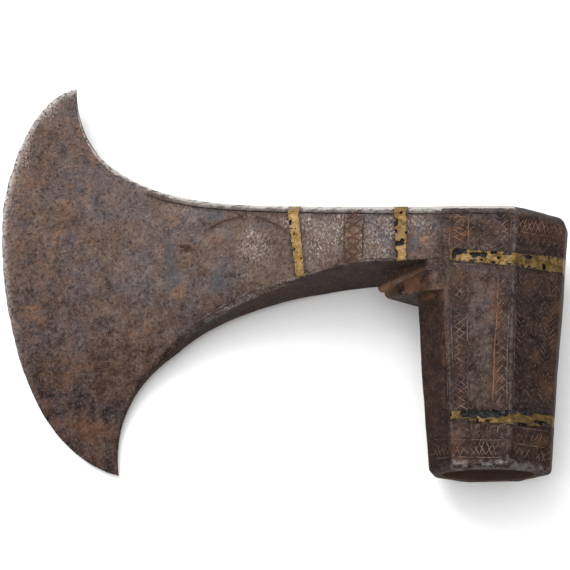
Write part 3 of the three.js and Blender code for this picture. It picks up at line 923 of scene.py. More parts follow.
# %% Outlines, prisms and cores
INLAY_DEPTH = 0.75
GROOVE_EXTRA = 0.05  # how much deeper the groove is than its band
SEAM = 0.09
OUTLINE_STEP = 0.6
EDGE_WANDER, WANDER_GRAIN, FINE_GRAIN = 0.2, 0.45, 1.6
CORE_DROP = 8.0  # a neck band's core runs on this far below the neck, so the underside gets no brass
THROUGH = 40.0  # far enough out to pass right through the head
BANDS = {
    "fore_neck_band": [(-63.3, 65.2), (-59.9, 65.2), (-62.4, 86), (-62.6, 97), (-66.9, 97), (-66.3, 86)],
    "rear_neck_band": [(-28.7, 68.3), (-25.3, 68.3), (-25.3, 80), (-25.5, 96), (-30.4, 96), (-29.5, 80)],
    "upper_socket_band": [(-11.3, 67.4), (0, 66.3), (10.9, 64.9), (30, 66.0), (30, 71.9), (10.9, 69.5),
                          (0, 70.5), (-11.3, 71.7)],
    "lower_socket_band": [(-10.8, 15.3), (0, 14.5), (8.9, 13.6), (30, 15.8), (30, 18.9), (8.9, 18.1),
                          (0, 18.5), (-10.8, 18.6)],
}


def wander(x, y, seed, grain=WANDER_GRAIN):
    return noise.noise(Vector((x * grain, y * grain, seed * 7.3)))


def hammered_outline(points, seed, grow=0.0):
    """The outline with a point at every small step, made uneven and grown outwards."""
    points = np.array(points, float)
    outline = []
    for a, b in zip(points, np.roll(points, -1, axis=0)):
        length = np.linalg.norm(b - a)
        steps = max(1, round(length / OUTLINE_STEP))
        outward = np.array([b[1] - a[1], a[0] - b[0]]) / length
        for i in range(steps):
            spot = a + (b - a) * i / steps
            uneven = wander(*spot, seed) + 0.6 * wander(*spot, seed + 3, FINE_GRAIN)
            outline.append(spot + outward * (EDGE_WANDER * uneven + grow))
    return outline


def prism(name, outline, low, high):
    count = len(outline)
    points = [(x, y, z) for z in (low, high) for x, y in outline]
    faces = [tuple(reversed(range(count))), tuple(range(count, 2 * count))]
    faces += [(i, (i + 1) % count, (i + 1) % count + count, i + count) for i in range(count)]
    mesh = bpy.data.meshes.new(name)
    mesh.from_pydata(points, [], faces)
    face_out(mesh)
    return bpy.data.objects.new(name, mesh)


def socket_core(depth):
    return skin("core", [socket_ring(y, depth) for y in np.linspace(-4, SOCKET_HEIGHT, 48)])


def inlay(name, seed, depth, grow):
    """The forging's skin inside a band's outline, down to the depth."""
    strip = prism(name, hammered_outline(BANDS[name], seed, grow), -THROUGH, THROUGH)
    strip = combine(strip, forging, "INTERSECT", keep_other=True)
    on_neck = "neck" in name
    core = blade_skin(depth, CORE_DROP, stations=STATIONS // 2) if on_neck else socket_core(depth)
    return combine(strip, core, "DIFFERENCE")


# %% [markdown]
# Over the centuries brass has fallen out of the grooves. Each loss is a ragged blot cut from one side
# of a band, and the empty groove shows black under it. Small nicks along the edges keep the strips
# from looking machined.

# %% Losses, grooves and bands
LOSSES = {
    "fore_neck_band": [(-65.4, 83.4, 0.7, 0.9), (-64.0, 79.4, 0.35, 0.5), (-63.9, 74.2, 0.3, 0.9),
                       (-61.4, 71.0, 0.25, 0.5)],
    "rear_neck_band": [(-29.3, 81.2, 1.1, 1.7), (-29.2, 78.4, 0.8, 0.8), (-28.0, 74.2, 1.9, 0.9),
                       (-26.8, 75.0, 0.8, 0.8), (-29.0, 70.6, 1.0, 1.6), (-25.6, 77.6, 0.4, 0.5),
                       (-27.2, 84.4, 0.5, 0.6)],
    "upper_socket_band": [(-8.6, 70.4, 1.6, 1.3), (-6.4, 70.6, 1.0, 0.8), (-9.8, 69.2, 0.7, 1.5),
                          (-2.4, 69.2, 1.9, 0.9), (0.2, 69.0, 1.1, 1.1), (-0.6, 67.4, 0.7, 0.35),
                          (3.4, 69.6, 1.2, 0.6), (5.0, 67.9, 0.6, 0.5), (7.6, 69.2, 1.3, 0.5),
                          (3.4, 66.4, 0.7, 0.4), (14.2, 68.9, 1.2, 0.6), (18.6, 66.7, 0.5, 1.2)],
    "lower_socket_band": [(-6.6, 17.4, 1.1, 1.2), (-3.9, 17.4, 2.3, 1.6), (0.0, 17.3, 2.4, 1.5),
                          (3.8, 17.2, 2.2, 1.5), (6.4, 17.3, 1.3, 1.2), (-9.4, 15.4, 0.8, 0.7),
                          (12.4, 18.0, 2.0, 0.9), (11.6, 14.3, 1.5, 0.6), (16.6, 15.6, 1.9, 0.8),
                          (1.2, 15.0, 0.8, 0.3)],
}
BACK_LOSSES = {
    "fore_neck_band": [(-65.6, 78.0, 0.6, 0.9)],
    "rear_neck_band": [(-25.8, 79.5, 0.7, 1.2)],
    "upper_socket_band": [(4.4, 69.3, 1.6, 0.8), (-5.2, 67.0, 1.0, 0.6)],
    "lower_socket_band": [(-2.6, 17.8, 1.4, 0.9), (12.2, 14.4, 1.2, 0.7)],
}


BLOT_POINTS, BLOT_RAGGED, BLOT_GRAIN = 20, 0.45, 1.3
CLEAR_OF_MIDDLE = 2.0  # a loss on one side starts this far from the head's middle plane
NICK_EVERY, NICK_CHANCE, NICK_FRONT = 4, 0.5, 0.6
NICK_WIDTHS, NICK_HEIGHTS = (0.15, 0.5), (0.15, 0.4)


def blot(spot, seed, front=True):
    """A ragged prism through one side of the head."""
    x, y, half_x, half_y = spot
    outline = []
    for turn in np.linspace(0, 2 * math.pi, BLOT_POINTS, endpoint=False):
        right, up = math.cos(turn), math.sin(turn)
        ragged = 1 + BLOT_RAGGED * noise.noise(Vector((right * BLOT_GRAIN, up * BLOT_GRAIN, seed * 3.7)))
        outline.append((x + half_x * ragged * right, y + half_y * ragged * up))
    low, high = (CLEAR_OF_MIDDLE, THROUGH) if front else (-THROUGH, -CLEAR_OF_MIDDLE)
    return prism("loss", outline, low, high)


def nicks(name, chance):
    """Small bites spaced out along a band's outline."""
    points = hammered_outline(BANDS[name], 0)
    spots = []
    for x, y in points[::NICK_EVERY]:
        if chance.random() < NICK_CHANCE:
            spots.append((x, y, chance.uniform(*NICK_WIDTHS), chance.uniform(*NICK_HEIGHTS)))
    return spots


brass_bands = {}
chance = random.Random(11)
for seed, name in enumerate(BANDS):
    groove = inlay(name, seed, INLAY_DEPTH + GROOVE_EXTRA, SEAM)
    groove.data.materials.clear()
    groove.data.materials.append(empty_groove)
    band = inlay(name, seed, INLAY_DEPTH, -SEAM)
    bites = [(spot, True) for spot in LOSSES[name]] + [(spot, False) for spot in BACK_LOSSES[name]]
    bites += [(spot, chance.random() < NICK_FRONT) for spot in nicks(name, chance)]
    for number_of_bite, (spot, front) in enumerate(bites):
        band = combine(band, blot(spot, seed * 40 + number_of_bite, front), "DIFFERENCE")
    band.data.materials.clear()
    band.data.materials.append(brass)
    head = combine(head, groove, "DIFFERENCE")
    brass_bands[name] = band
    print(name, "has", triangles(band), "triangles and", len(bites), "losses and nicks")
plain_faces = BVHTree.FromPolygons([v.co for v in forging.data.vertices],
                                   [tuple(p.vertices) for p in forging.data.polygons])
discard(forging)

# %% [markdown]
# ## Unevenness from the hammer
# Nothing on a forging is truly flat or straight. A slow noise bends every surface by a few tenths of a
# millimetre, and two finer ones add small waves. The shift depends only on the place, so the bands
# move with their grooves. The thin cutting edge moves more, because it has been nicked in use. The
# noise module takes new offsets from the clock in each run, so it is given a seed first.

# %% Warp every piece the same way
WAVES = ((0.045, 0.30), (0.15, 0.11), (0.5, 0.05))  # size as 1/mm, and height in mm
EDGE_REACH = 4  # how far from the cutting edge its nicks reach
EDGE_NICK, NICK_SIZE, NICK_SHARE = 0.35, 0.33, 0.25
EDGE_CALM = 0.7  # how much of the unevenness across the thin edge is left out
HAMMER_SEED = 8
noise.seed_set(HAMMER_SEED)


def vertices_of(piece):
    points = np.empty(len(piece.data.vertices) * 3)
    piece.data.vertices.foreach_get("co", points)
    return points.reshape(-1, 3)


def set_vertices(piece, points):
    piece.data.vertices.foreach_set("co", np.ascontiguousarray(points, float).ravel())
    piece.data.update()


def from_line(points, line):
    """How far each point lies from a line of spots, seen flat."""
    gaps = np.full(len(points), np.inf)
    for spot in line:
        gaps = np.minimum(gaps, (points[:, 0] - spot[0]) ** 2 + (points[:, 1] - spot[1]) ** 2)
    return np.sqrt(gaps)


edge_line = walk(cutting_edge, np.linspace(0, 1, 160))


def hammer(piece):
    points = vertices_of(piece)
    shift = np.zeros_like(points)
    for size, height in WAVES:
        shift += height * np.array([noise.noise_vector(Vector(p) * size) for p in points])
    near = np.clip(1 - from_line(points, edge_line) / EDGE_REACH, 0, 1)
    nick = np.array([noise.noise(Vector((p[0] * NICK_SIZE, p[1] * NICK_SIZE, 5.0))) for p in points])
    shift[:, 0] += EDGE_NICK * near * np.clip(nick + NICK_SHARE, 0, None)
    shift[:, 2] *= 1 - EDGE_CALM * near
    set_vertices(piece, points + shift)
    return points


plain_points = hammer(head)
for band in brass_bands.values():
    hammer(band)
print("the hammer moved the head by up to",
      round(float(np.abs(vertices_of(head) - plain_points).max()), 2), "mm")

# %% [markdown]
# ## Measure where the surface is worn, dirty or rusty, and where light and shade are painted
# Patina and painted light follow the shape: corners are rubbed bright and given a painted highlight,
# hollows hold dirt and painted shade, and rust creeps out of the engraving. Each of these is measured
# once per vertex and stored as a named attribute, which the materials read. Corners and hollows come
# from the angle between neighbouring faces.

# %% Attributes that follow the shape
CORNER_ANGLE = math.radians(9)
LONG_FOLD = 0.8  # a fold longer than this in mm is marked at its ends too
STROKE_SEARCH, FAR = 4.0, 99.0


def fold_spots(piece):
    """Middles of the piece's sharp edges, apart from the engraving: outward corners, then hollows."""
    mesh = bmesh.new()
    mesh.from_mesh(piece.data)
    corners, hollows = [], []
    for edge in mesh.edges:
        if len(edge.link_faces) != 2:
            continue
        first, second = edge.link_faces
        if edge.calc_face_angle(0.0) < CORNER_ANGLE:
            continue
        cut = first.material_index != 0 or second.material_index != 0
        inward = (second.calc_center_median() - first.calc_center_median()).dot(first.normal)
        middle = (edge.verts[0].co + edge.verts[1].co) / 2
        if inward < 0 and not cut:
            corners.append(middle)
            if edge.calc_length() > LONG_FOLD:
                corners += [edge.verts[0].co.copy(), edge.verts[1].co.copy()]
        elif inward > 0:
            hollows.append(middle)
    mesh.free()
    return corners, hollows


def nearness(points, spots, reach):
    """1 on a spot, falling smoothly to 0 a few reaches away."""
    tree = kdtree.KDTree(len(spots))
    for i, spot in enumerate(spots):
        tree.insert(spot, i)
    tree.balance()
    gaps = np.array([tree.find(p)[2] for p in points])
    return np.exp(-(gaps / reach) ** 2)


def near_strokes(points, reach):
    gaps = np.full(len(points), FAR)
    for tree in stroke_trees:
        found = [tree.find_nearest(Vector(p), STROKE_SEARCH)[3] for p in points]
        gaps = np.minimum(gaps, [FAR if gap is None else gap for gap in found])
    return np.exp(-(gaps / reach) ** 2)


def around(points, spots):
    """Soft patches, clipped at 1: each spot gives x, y, two reaches and a strength."""
    total = np.zeros(len(points))
    for x, y, reach_x, reach_y, strength in spots:
        away = ((points[:, 0] - x) / reach_x) ** 2 + ((points[:, 1] - y) / reach_y) ** 2
        total += strength * np.exp(-away)
    return np.clip(total, 0, 1)


def smooth(values, low, high):
    share = np.clip((values - low) / (high - low), 0, 1)
    return share * share * (3 - 2 * share)


def store(piece, name, values):
    layer = piece.data.attributes.new(name, "FLOAT", "POINT")
    layer.data.foreach_set("value", np.ascontiguousarray(values, np.float32))


def facing(points):
    """Which way the plain forging faces at each point, without the engraving."""
    return np.array([plain_faces.find_nearest(Vector(p))[1] for p in points])


# %% Where the patina differs
# Each patch is x, y, its two reaches in mm and its strength.
# Among the scuffs, the small patch at x -101.6 is a painted highlight on the edge of the chisel slip.
SCUFFS_AND_A_HIGHLIGHT = [(-78.0, 75.5, 5.5, 5.0, 1.0), (-79.0, 80.5, 2.5, 3.0, 0.8), (-66.5, 83.5, 2.2, 2.2, 1.0),
           (-59.5, 83.0, 2.5, 3.0, 0.9), (-53.5, 78.0, 6.0, 7.0, 0.9), (-47.5, 81.0, 2.0, 7.0, 0.9),
           (-35.0, 78.0, 4.5, 8.0, 0.8), (-30.5, 80.0, 1.4, 5.0, 0.7), (-23.0, 80.5, 3.0, 3.5, 0.8),
           (-18.0, 78.5, 3.0, 5.0, 0.6), (-167.5, 100.0, 2.2, 14.0, 0.45),
           (-164.0, 117.0, 2.4, 9.0, 0.9), (-101.6, 76.0, 1.6, 0.5, 1.0),
           (-155.5, 132.5, 2.4, 5.0, 0.9), (-104.0, 92.0, 6.0, 2.5, 0.6), (-2.0, 70.0, 5.0, 4.0, 0.3),
           (-40.5, 78.0, 1.4, 8.0, 0.6), (-57.0, 72.0, 5.0, 5.0, 0.45), (-34.0, 70.0, 5.0, 3.0, 0.4)]
BLUED = [(-107.8, 76.0, 3.0, 6.0, 1.0), (-107.0, 66.5, 2.6, 4.5, 1.0), (-92.6, 88.4, 3.8, 2.8, 1.0),
         (-91.3, 65.0, 3.2, 4.5, 1.0), (-87.5, 80.5, 3.5, 3.0, 0.55), (-76.0, 83.0, 5.0, 2.4, 0.6),
         (-85.0, 69.0, 4.0, 3.0, 0.5), (-112.0, 71.0, 3.0, 3.5, 0.5), (-104.0, 92.5, 5.0, 3.0, 0.5),
         (-24.0, 73.5, 2.2, 3.6, 0.6), (-31.5, 75.0, 2.0, 4.0, 0.7), (-1.0, 78.5, 3.5, 4.5, 0.6),
         (-125.0, 96.0, 6.0, 4.0, 0.35), (-133.0, 74.0, 6.0, 10.0, 0.3), (-64.8, 76.0, 1.0, 8.0, 0.9),
         (-35.0, 78.0, 5.0, 9.0, 0.55), (-19.5, 77.0, 5.5, 8.0, 0.6), (-56.0, 74.0, 7.0, 8.0, 0.42),
         (-146.0, 122.0, 6.0, 12.0, 0.4), (-74.0, 74.0, 6.0, 8.0, 0.4), (-4.0, 66.0, 8.0, 6.0, 0.4),
         (-1.0, 48.0, 4.0, 16.0, 0.35), (9.0, 40.0, 1.5, 16.0, 0.5)]
RUSTED = [(-43.0, 77.5, 2.8, 7.5, 1.0), (-8.2, 76.8, 3.4, 5.0, 1.0), (-19.6, 74.8, 1.8, 3.0, 0.9),
          (-11.8, 74.5, 1.4, 4.5, 0.9), (4.4, 45.0, 1.6, 14.0, 0.75), (3.2, 28.0, 1.4, 8.0, 0.8),
          (-104.5, 62.5, 2.6, 2.4, 0.9), (-102.0, 78.5, 3.0, 2.0, 0.8), (-90.5, 80.6, 3.0, 1.8, 0.7),
          (-107.5, 88.0, 2.2, 1.8, 0.8), (-143.5, 126.0, 5.0, 3.5, 0.7), (-156.0, 122.0, 3.0, 4.0, 0.5),
          (-146.0, 100.0, 6.0, 5.0, 0.6), (-151.0, 84.0, 8.0, 6.0, 0.75), (-158.0, 60.0, 7.0, 12.0, 0.7),
          (-146.0, 38.0, 10.0, 9.0, 0.55), (-137.0, 18.0, 9.0, 7.0, 0.6), (-131.0, 64.0, 7.0, 8.0, 0.35),
          (-120.0, 50.0, 8.0, 8.0, 0.35), (14.0, 79.5, 12.0, 3.6, 0.9), (21.0, 50.0, 2.6, 12.0, 0.5),
          (20.0, 27.0, 2.5, 6.0, 0.55), (-9.0, 8.0, 2.6, 6.0, 0.5), (-28.4, 85.5, 1.8, 1.6, 1.0),
          (-31.0, 63.0, 6.0, 3.0, 1.0), (-24.0, 61.0, 5.0, 3.0, 1.0),
          (-15.0, 60.0, 3.0, 2.5, 0.25), (-7.5, 62.0, 2.5, 3.0, 0.6),
          (-8.0, 30.0, 2.0, 14.0, 0.35), (-13.2, 40.0, 0.8, 24.0, 0.8), (-4.9, 76.0, 0.9, 4.0, 0.7),
          (15.0, 9.0, 6.0, 4.0, 0.5), (14.0, 60.0, 2.0, 6.0, 0.4), (16.0, 36.0, 2.0, 6.0, 0.3)]
RUSTY_LIP = [(-36.0, 62.8, 4.0, 1.9, 1.0), (-30.0, 64.6, 4.0, 1.5, 0.9), (-24.0, 65.6, 4.0, 1.2, 0.6),
             (-18.0, 57.6, 3.0, 1.2, 0.8)]
LIP_LESS_GRIME_AND_SHADE = [(-31.0, 63.6, 5.0, 1.8, 0.3)]
DARKER_BRASS = [(-27.5, 82.0, 4.0, 9.0, 0.45)]
COPPERY = [(-28.4, 85.6, 2.2, 1.8, 1.0), (17.5, 16.4, 2.0, 1.2, 0.8), (-28.0, 71.0, 1.0, 1.0, 0.5),
           (-8.5, 70.8, 1.6, 1.2, 0.5)]
print("patches:", len(SCUFFS_AND_A_HIGHLIGHT), "scuffed,", len(BLUED), "blued and", len(RUSTED), "rusted")

# %% [markdown]
# Most of the wear, dirt and painted light follows rules instead of patches. Handling rubs what stands
# proud and faces forward, so the top's bevel and the rim of the blade are bright, partly with a painted
# highlight, and the cutting edge is ground bright. Faces turned down or to the sides get grime and
# painted shade, and the socket is the darkest part. Each rule is a short function that gives a share
# from 0 to 1, mostly from places in millimetres along the head.

# %% Rules for polish, wear and painted highlights
SIDE_TURN = (0.35, 0.72)  # as a face points more sideways, from not a side face to wholly one
# Strengths of the rubbing on the corners, each with a painted highlight.
NECK_RUB_AND_HIGHLIGHT, SOCKET_RUB_AND_HIGHLIGHT, CHAMFER_RUB_AND_HIGHLIGHT, POLL_RUB_AND_HIGHLIGHT, RIM_RUB_AND_HIGHLIGHT, ARRIS_RUB_AND_HIGHLIGHT = 0.12, 0.05, 0.07, 0.04, 0.3, 0.8
ARRIS_BELOW = 1.4  # how far the rubbed and highlit top arris reaches below the line of the top
ARRIS_FRONT = ((-146, -60, 0), (0.3, 8.0, 13.5))  # along the head, how far forward the arris starts
DULL_POLISH_AND_HIGHLIGHT = 0.12  # what is left of the polish and painted highlight on faces that are turned away or lower
RIM_POLISH_AND_HIGHLIGHT = 0.9
UNDER_BEVEL_SCUFF = 0.55
EDGE_SHINE = 1.7  # how far from the cutting edge it is ground bright
top_line = walk(top_side, np.linspace(0, 1, 200))


def below_top(points):
    """How far each point is below the line of the head's top, in mm."""
    heights = np.interp(-points[:, 0], -top_line[:, 0], top_line[:, 1])
    heights = np.where(points[:, 0] > 0, SOCKET_HEIGHT - TOP_FALL_TO_POLL * points[:, 0], heights)
    return heights - points[:, 1]


def how_rubbed_and_highlit(points):
    """How bare and highlit the iron's corners are at each place: 0 for not at all, and 1 for bright."""
    x, y, z = points.T
    neck = np.where((y < 72) & (x > -24), 0, NECK_RUB_AND_HIGHLIGHT * smooth(x, -108, -92))
    blade_side = np.where(y > 60, 0, SOCKET_RUB_AND_HIGHLIGHT)
    socket = np.where(x < 0, blade_side, np.where(x > 19, POLL_RUB_AND_HIGHLIGHT, CHAMFER_RUB_AND_HIGHLIGHT))
    share = np.where(x < -15.5, neck, socket)
    rim = RIM_RUB_AND_HIGHLIGHT * smooth(-y, -3.5, -1.0) * (z > 0)
    share = np.where((x > -12) & (x < 19), np.maximum(share, rim), share)
    arris = (x < 18) & (below_top(points) < ARRIS_BELOW) & (z > np.interp(x, *ARRIS_FRONT))
    return np.where(arris, ARRIS_RUB_AND_HIGHLIGHT, share)


def how_polished_and_highlit(points, normals):
    """Polish with a painted highlight on the bevel along the top of the neck, and on the rim of the blade
    below its top line.
    """
    x, y, _ = points.T
    to_front = DULL_POLISH_AND_HIGHLIGHT + (1 - DULL_POLISH_AND_HIGHLIGHT) * smooth(normals[:, 2], 0.1, 0.5)
    at_top = DULL_POLISH_AND_HIGHLIGHT + (1 - DULL_POLISH_AND_HIGHLIGHT) * smooth(-below_top(points), -1.5, -0.3)
    bevel = smooth(normals[:, 1], 0.35, 0.62) * smooth(-normals[:, 0], -0.45, -0.25) * to_front * at_top
    rim_width = 0.7 + 0.8 * smooth(x, -120, -90)
    rim = RIM_POLISH_AND_HIGHLIGHT * smooth(-from_line(points, top_line) / rim_width, -1.0, -0.3)
    rim *= smooth(-y, -126, -110) * to_front
    on_blade = smooth(-x, 70, 85)
    return bevel * (1 - on_blade) + rim * on_blade


def how_scuffed_and_highlit(points, normals):
    x = points[:, 0]
    under_bevel = smooth(-normals[:, 1], 0.35, 0.6) * smooth(x, -104, -84) * smooth(-x, 52, 62)
    return np.maximum(around(points, SCUFFS_AND_A_HIGHLIGHT), UNDER_BEVEL_SCUFF * under_bevel)


# %% Rules for grime, painted shade and darker places
BRACKET_TOP = 67
SOCKET_TOP_DARK = 0.68
LOW_SIDE_SHADE = 0.6
POLL_GRIME_AND_SHADE = 0.72
EYE_MARGIN = 0.5  # how far into the iron the eye's own finish reaches


def darker_socket_and_low_blade(points):
    """How much darker the iron and brass are made: most on the socket, then low on the blade."""
    x, y, _ = points.T
    over_bracket = 0.9 * smooth(x, -42, -35) + 0.1 * smooth(x, -26, -10)
    reach = np.where(y < BRACKET_TOP, over_bracket, smooth(x, -26, -6))
    socket = (SOCKET_TOP_DARK + (1 - SOCKET_TOP_DARK) * smooth(-y, -60, -2)) * reach
    return np.maximum(socket, smooth(-y, -85, -15) * smooth(-x, 60, 90))


# Painted shade on the faces turned down along the blade.
def painted_shade_underneath(points, normals):
    return LOW_SIDE_SHADE * smooth(-normals[:, 1], 0.5, 0.9) * smooth(-points[:, 0], 62, 92)


def grime_and_shade_by_facing(points, normals):
    """Grime and painted shade on the faces turned down, to the blade and to the poll."""
    # Near the root the bevel under the neck stays light, and only the flat below it gets grime and painted
    # shade.
    light = smooth(points[:, 0], -106, -90) * smooth(-points[:, 0], 45, 50)
    underneath = smooth(-normals[:, 1], 0.15 + 0.57 * light, 0.8 + 0.15 * light)
    to_blade = smooth(-normals[:, 0], *SIDE_TURN)
    to_poll = POLL_GRIME_AND_SHADE * smooth(normals[:, 0], *SIDE_TURN)
    return np.maximum(np.maximum(underneath, to_blade), to_poll) * (1 - around(points, LIP_LESS_GRIME_AND_SHADE))


def in_eye(points):
    x, y, z = points.T
    across = (x - EYE_CENTRE) / (at_height(EYE_HALF_WIDTH, y) + EYE_MARGIN)
    deep = z / (at_height(EYE_HALF_DEPTH, y) + EYE_MARGIN)
    return (across ** 2 + deep ** 2 < 1.0) & (y > -2)


# %% Measure the head and the bands
CORNER_REACH, HOLLOW_REACH, STROKE_REACH, STRIP_REACH = 0.4, 0.85, 0.8, 0.5
LIP_FADE = (-67.5, -65.5)  # heights, counted down, between which the lip's rust starts


def measure_patina(piece, shape_points):
    """Stores every measure. Places and faces are those from before the hammer, so the rules hold."""
    points = vertices_of(piece)
    normals = facing(shape_points)
    corners, hollows = fold_spots(piece)
    x, y, _ = shape_points.T
    front = smooth(normals[:, 2], 0.1, 0.7)
    on_corner = smooth(nearness(points, corners, CORNER_REACH), 0.5, 1.0)
    edge = np.exp(-(from_line(shape_points, edge_line) / EDGE_SHINE) ** 2) * smooth(y, 20, 110)
    lip = around(shape_points, RUSTY_LIP) * smooth(-y, *LIP_FADE)
    measures = {
        "rubbed corners": on_corner * how_rubbed_and_highlit(shape_points),
        "hollows": nearness(points, hollows, HOLLOW_REACH),
        "polished top": how_polished_and_highlit(shape_points, normals),
        "cutting edge": edge,
        "scuffed": how_scuffed_and_highlit(shape_points, normals) * front,
        "blued": around(shape_points, BLUED) * front,
        "rusted": around(shape_points, RUSTED),
        "near engraving": near_strokes(shape_points, STROKE_REACH),
        "corroded": smooth(-x, 104, 158),
        "grimy sides": grime_and_shade_by_facing(shape_points, normals),
        # A darker socket and low blade, with painted shade on the faces turned down under the blade.
        "dark patina": np.maximum(darker_socket_and_low_blade(shape_points), painted_shade_underneath(shape_points, normals)),
        "rusty lip": lip,
        "inside the eye": in_eye(shape_points),
    }
    for name, values in measures.items():
        store(piece, name, values)
    print(piece.name, "has", len(corners), "corner spots and", len(hollows), "hollow spots")


def measure_band(band):
    points = vertices_of(band)
    corners, _ = fold_spots(band)
    store(band, "strip edges", nearness(points, corners, STRIP_REACH))
    store(band, "grimy sides", smooth(np.abs(facing(points)[:, 0]), *SIDE_TURN))
    store(band, "dark patina", darker_socket_and_low_blade(points) + around(points, DARKER_BRASS))
    store(band, "coppery", around(points, COPPERY))
    print(band.name, "has", len(corners), "corner spots")


measure_patina(head, plain_points)
for band in brass_bands.values():
    measure_band(band)

# %% [markdown]
# ## Lay the pieces on their back
# Every piece was made on the head's own axes, in millimetres. Its vertices are now turned and scaled
# onto the imported model, and its object stays at the origin. The size is printed beside the packed
# node's box.

# %% Place the pieces


def finish_shape(piece, name, sharp_angle):
    piece.data.transform(place_head)
    piece.name = name
    piece.data.name = name
    piece.data.polygons.foreach_set("use_smooth", [True] * len(piece.data.polygons))
    piece.data.set_sharp_from_angle(angle=math.radians(sharp_angle))
    piece.data.update()


SHARP_ANGLE = 32
finish_shape(head, "iron_forging", SHARP_ANGLE)
for name, band in brass_bands.items():
    finish_shape(band, "brass_" + name, SHARP_ANGLE)
low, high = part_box("axe_head")
made = vertices_of(head)
print("packed head:", [round(1000 * v, 2) for v in (*low, *high)])
print("this head:  ", [round(1000 * v, 2) for v in (*made.min(axis=0), *made.max(axis=0))])

# %% [markdown]
# ## The iron's finish
# Old forged iron is brown-black, and mottled at every scale: broad warm and cool areas, spots of a few
# millimetres, and a fine speckle of rust and bare metal. The material layers noises from broad to
# fine, and the measured attributes decide where each layer shows. Object coordinates are in metres,
# so a noise scale of 300 makes spots of about 3 mm.

# %% Helpers for materials
SMALL_TURN = -0.005  # turn of a shifted or stretched noise about the upright axis, in radians


def noise_fac(tree, scale, detail=4.0, roughness=0.6, distortion=0.0, stretch=None, offset=(0, 0, 0)):
    place = tree.nodes.new("ShaderNodeTexCoord").outputs["Object"]
    if stretch or any(offset):
        place = add(tree, "ShaderNodeMapping", {
            "Vector": place, "Scale": stretch or (1, 1, 1), "Location": offset,
            "Rotation": (0, 0, SMALL_TURN)}).outputs[0]
    return add(tree, "ShaderNodeTexNoise", {
        "Vector": place, "Scale": scale, "Detail": detail, "Roughness": roughness,
        "Distortion": distortion}).outputs["Fac"]


def attribute(tree, name):
    return add(tree, "ShaderNodeAttribute", attribute_name=name).outputs["Fac"]


def ramp(tree, value, low, high, start=0.0, end=1.0):
    """Smoothly from start to end as the value goes from low to high."""
    wires = {"Value": value, "From Min": low, "From Max": high, "To Min": start, "To Max": end}
    return add(tree, "ShaderNodeMapRange", wires, interpolation_type="SMOOTHSTEP").outputs[0]


def tint(tree, share, under, over):
    """The colour over the colour under, by a share."""
    under = under if isinstance(under, bpy.types.NodeSocket) else (*under, 1)
    over = over if isinstance(over, bpy.types.NodeSocket) else (*over, 1)
    return add(tree, "ShaderNodeMix", {0: share, 6: under, 7: over}, data_type="RGBA").outputs[2]


def darken(tree, share, colour, shade):
    """The colour multiplied by a shade, by a share, so that its pattern stays."""
    return add(tree, "ShaderNodeMix", {0: share, 6: colour, 7: (*shade, 1)}, data_type="RGBA",
               blend_type="MULTIPLY").outputs[2]


def times(tree, *values):
    total = values[0]
    for value in values[1:]:
        total = number(tree, "MULTIPLY", total, value)
    return total


def start_material(material):
    material.use_nodes = True
    tree = material.node_tree
    tree.nodes.clear()
    surface = tree.nodes.new("ShaderNodeBsdfPrincipled")
    end = tree.nodes.new("ShaderNodeOutputMaterial")
    tree.links.new(surface.outputs[0], end.inputs["Surface"])
    return tree, surface


def relief(tree, surface, height, depth):
    """Bump of the given depth in metres, for relief too fine for the mesh."""
    bump = add(tree, "ShaderNodeBump", {"Height": height, "Distance": depth, "Strength": 1.0})
    tree.links.new(bump.outputs[0], surface.inputs["Normal"])


# %% Colours of the iron
UMBER, BLACK_BROWN, WARM_TAN = (0.092, 0.059, 0.047), (0.021, 0.015, 0.014), (0.185, 0.140, 0.118)
COOL_GREY, PALE_SPECK, BLUE_SCALE = (0.080, 0.067, 0.069), (0.180, 0.152, 0.142), (0.048, 0.056, 0.068)
RUST_RED, RUST_ORANGE = (0.150, 0.074, 0.048), (0.360, 0.165, 0.082)
SOFT_RUST, LATE_RUST = (0.175, 0.104, 0.062), (0.160, 0.078, 0.042)
LIP_RUST, EYE_RUST = (0.150, 0.078, 0.038), (0.075, 0.045, 0.034)
# The bare steel colour is partly a painted highlight, and the hollow dirt is partly painted shade.
BARE_STEEL_AND_HIGHLIGHT, PALE_SCUFF_AND_HIGHLIGHT = (0.56, 0.53, 0.50), (0.34, 0.30, 0.27)
PIT_BLACK, HOLLOW_DIRT_AND_SHADE = (0.018, 0.013, 0.012), (0.014, 0.010, 0.009)
# These four multiply the colour under them. The grime tone is grime and painted shade together.
CORRODED_SHADE, GRIME_AND_SHADE_TONE = (0.82, 0.79, 0.79), (0.38, 0.30, 0.27)
DARKENED_TONE, MOTTLE_SHADE = (0.49, 0.45, 0.46), (0.58, 0.56, 0.56)

# %% Ground, rust and scale of the iron
MARKS = ("rusted", "near engraving", "blued", "corroded", "grimy sides", "hollows", "dark patina",
         "rusty lip", "scuffed", "polished top", "rubbed corners", "cutting edge", "inside the eye")


def iron_noises(tree):
    return {
        "broad": noise_fac(tree, 55, 3),
        "patches": noise_fac(tree, 150, 5, 0.65, 0.5, offset=(3, 1, 2)),
        "middle": noise_fac(tree, 230, 6, 0.68, 0.3),
        "fine": noise_fac(tree, 1000, 5, 0.75),
        "grain": noise_fac(tree, 2300, 3, 0.7),
    }


def iron_ground(tree, noises):
    middle = noises["middle"]
    colour = tint(tree, ramp(tree, noises["broad"], 0.4, 0.62), UMBER, COOL_GREY)
    colour = tint(tree, ramp(tree, middle, 0.50, 0.66, 0, 0.55), colour, WARM_TAN)
    return tint(tree, ramp(tree, middle, 0.47, 0.34, 0, 0.6), colour, BLACK_BROWN)


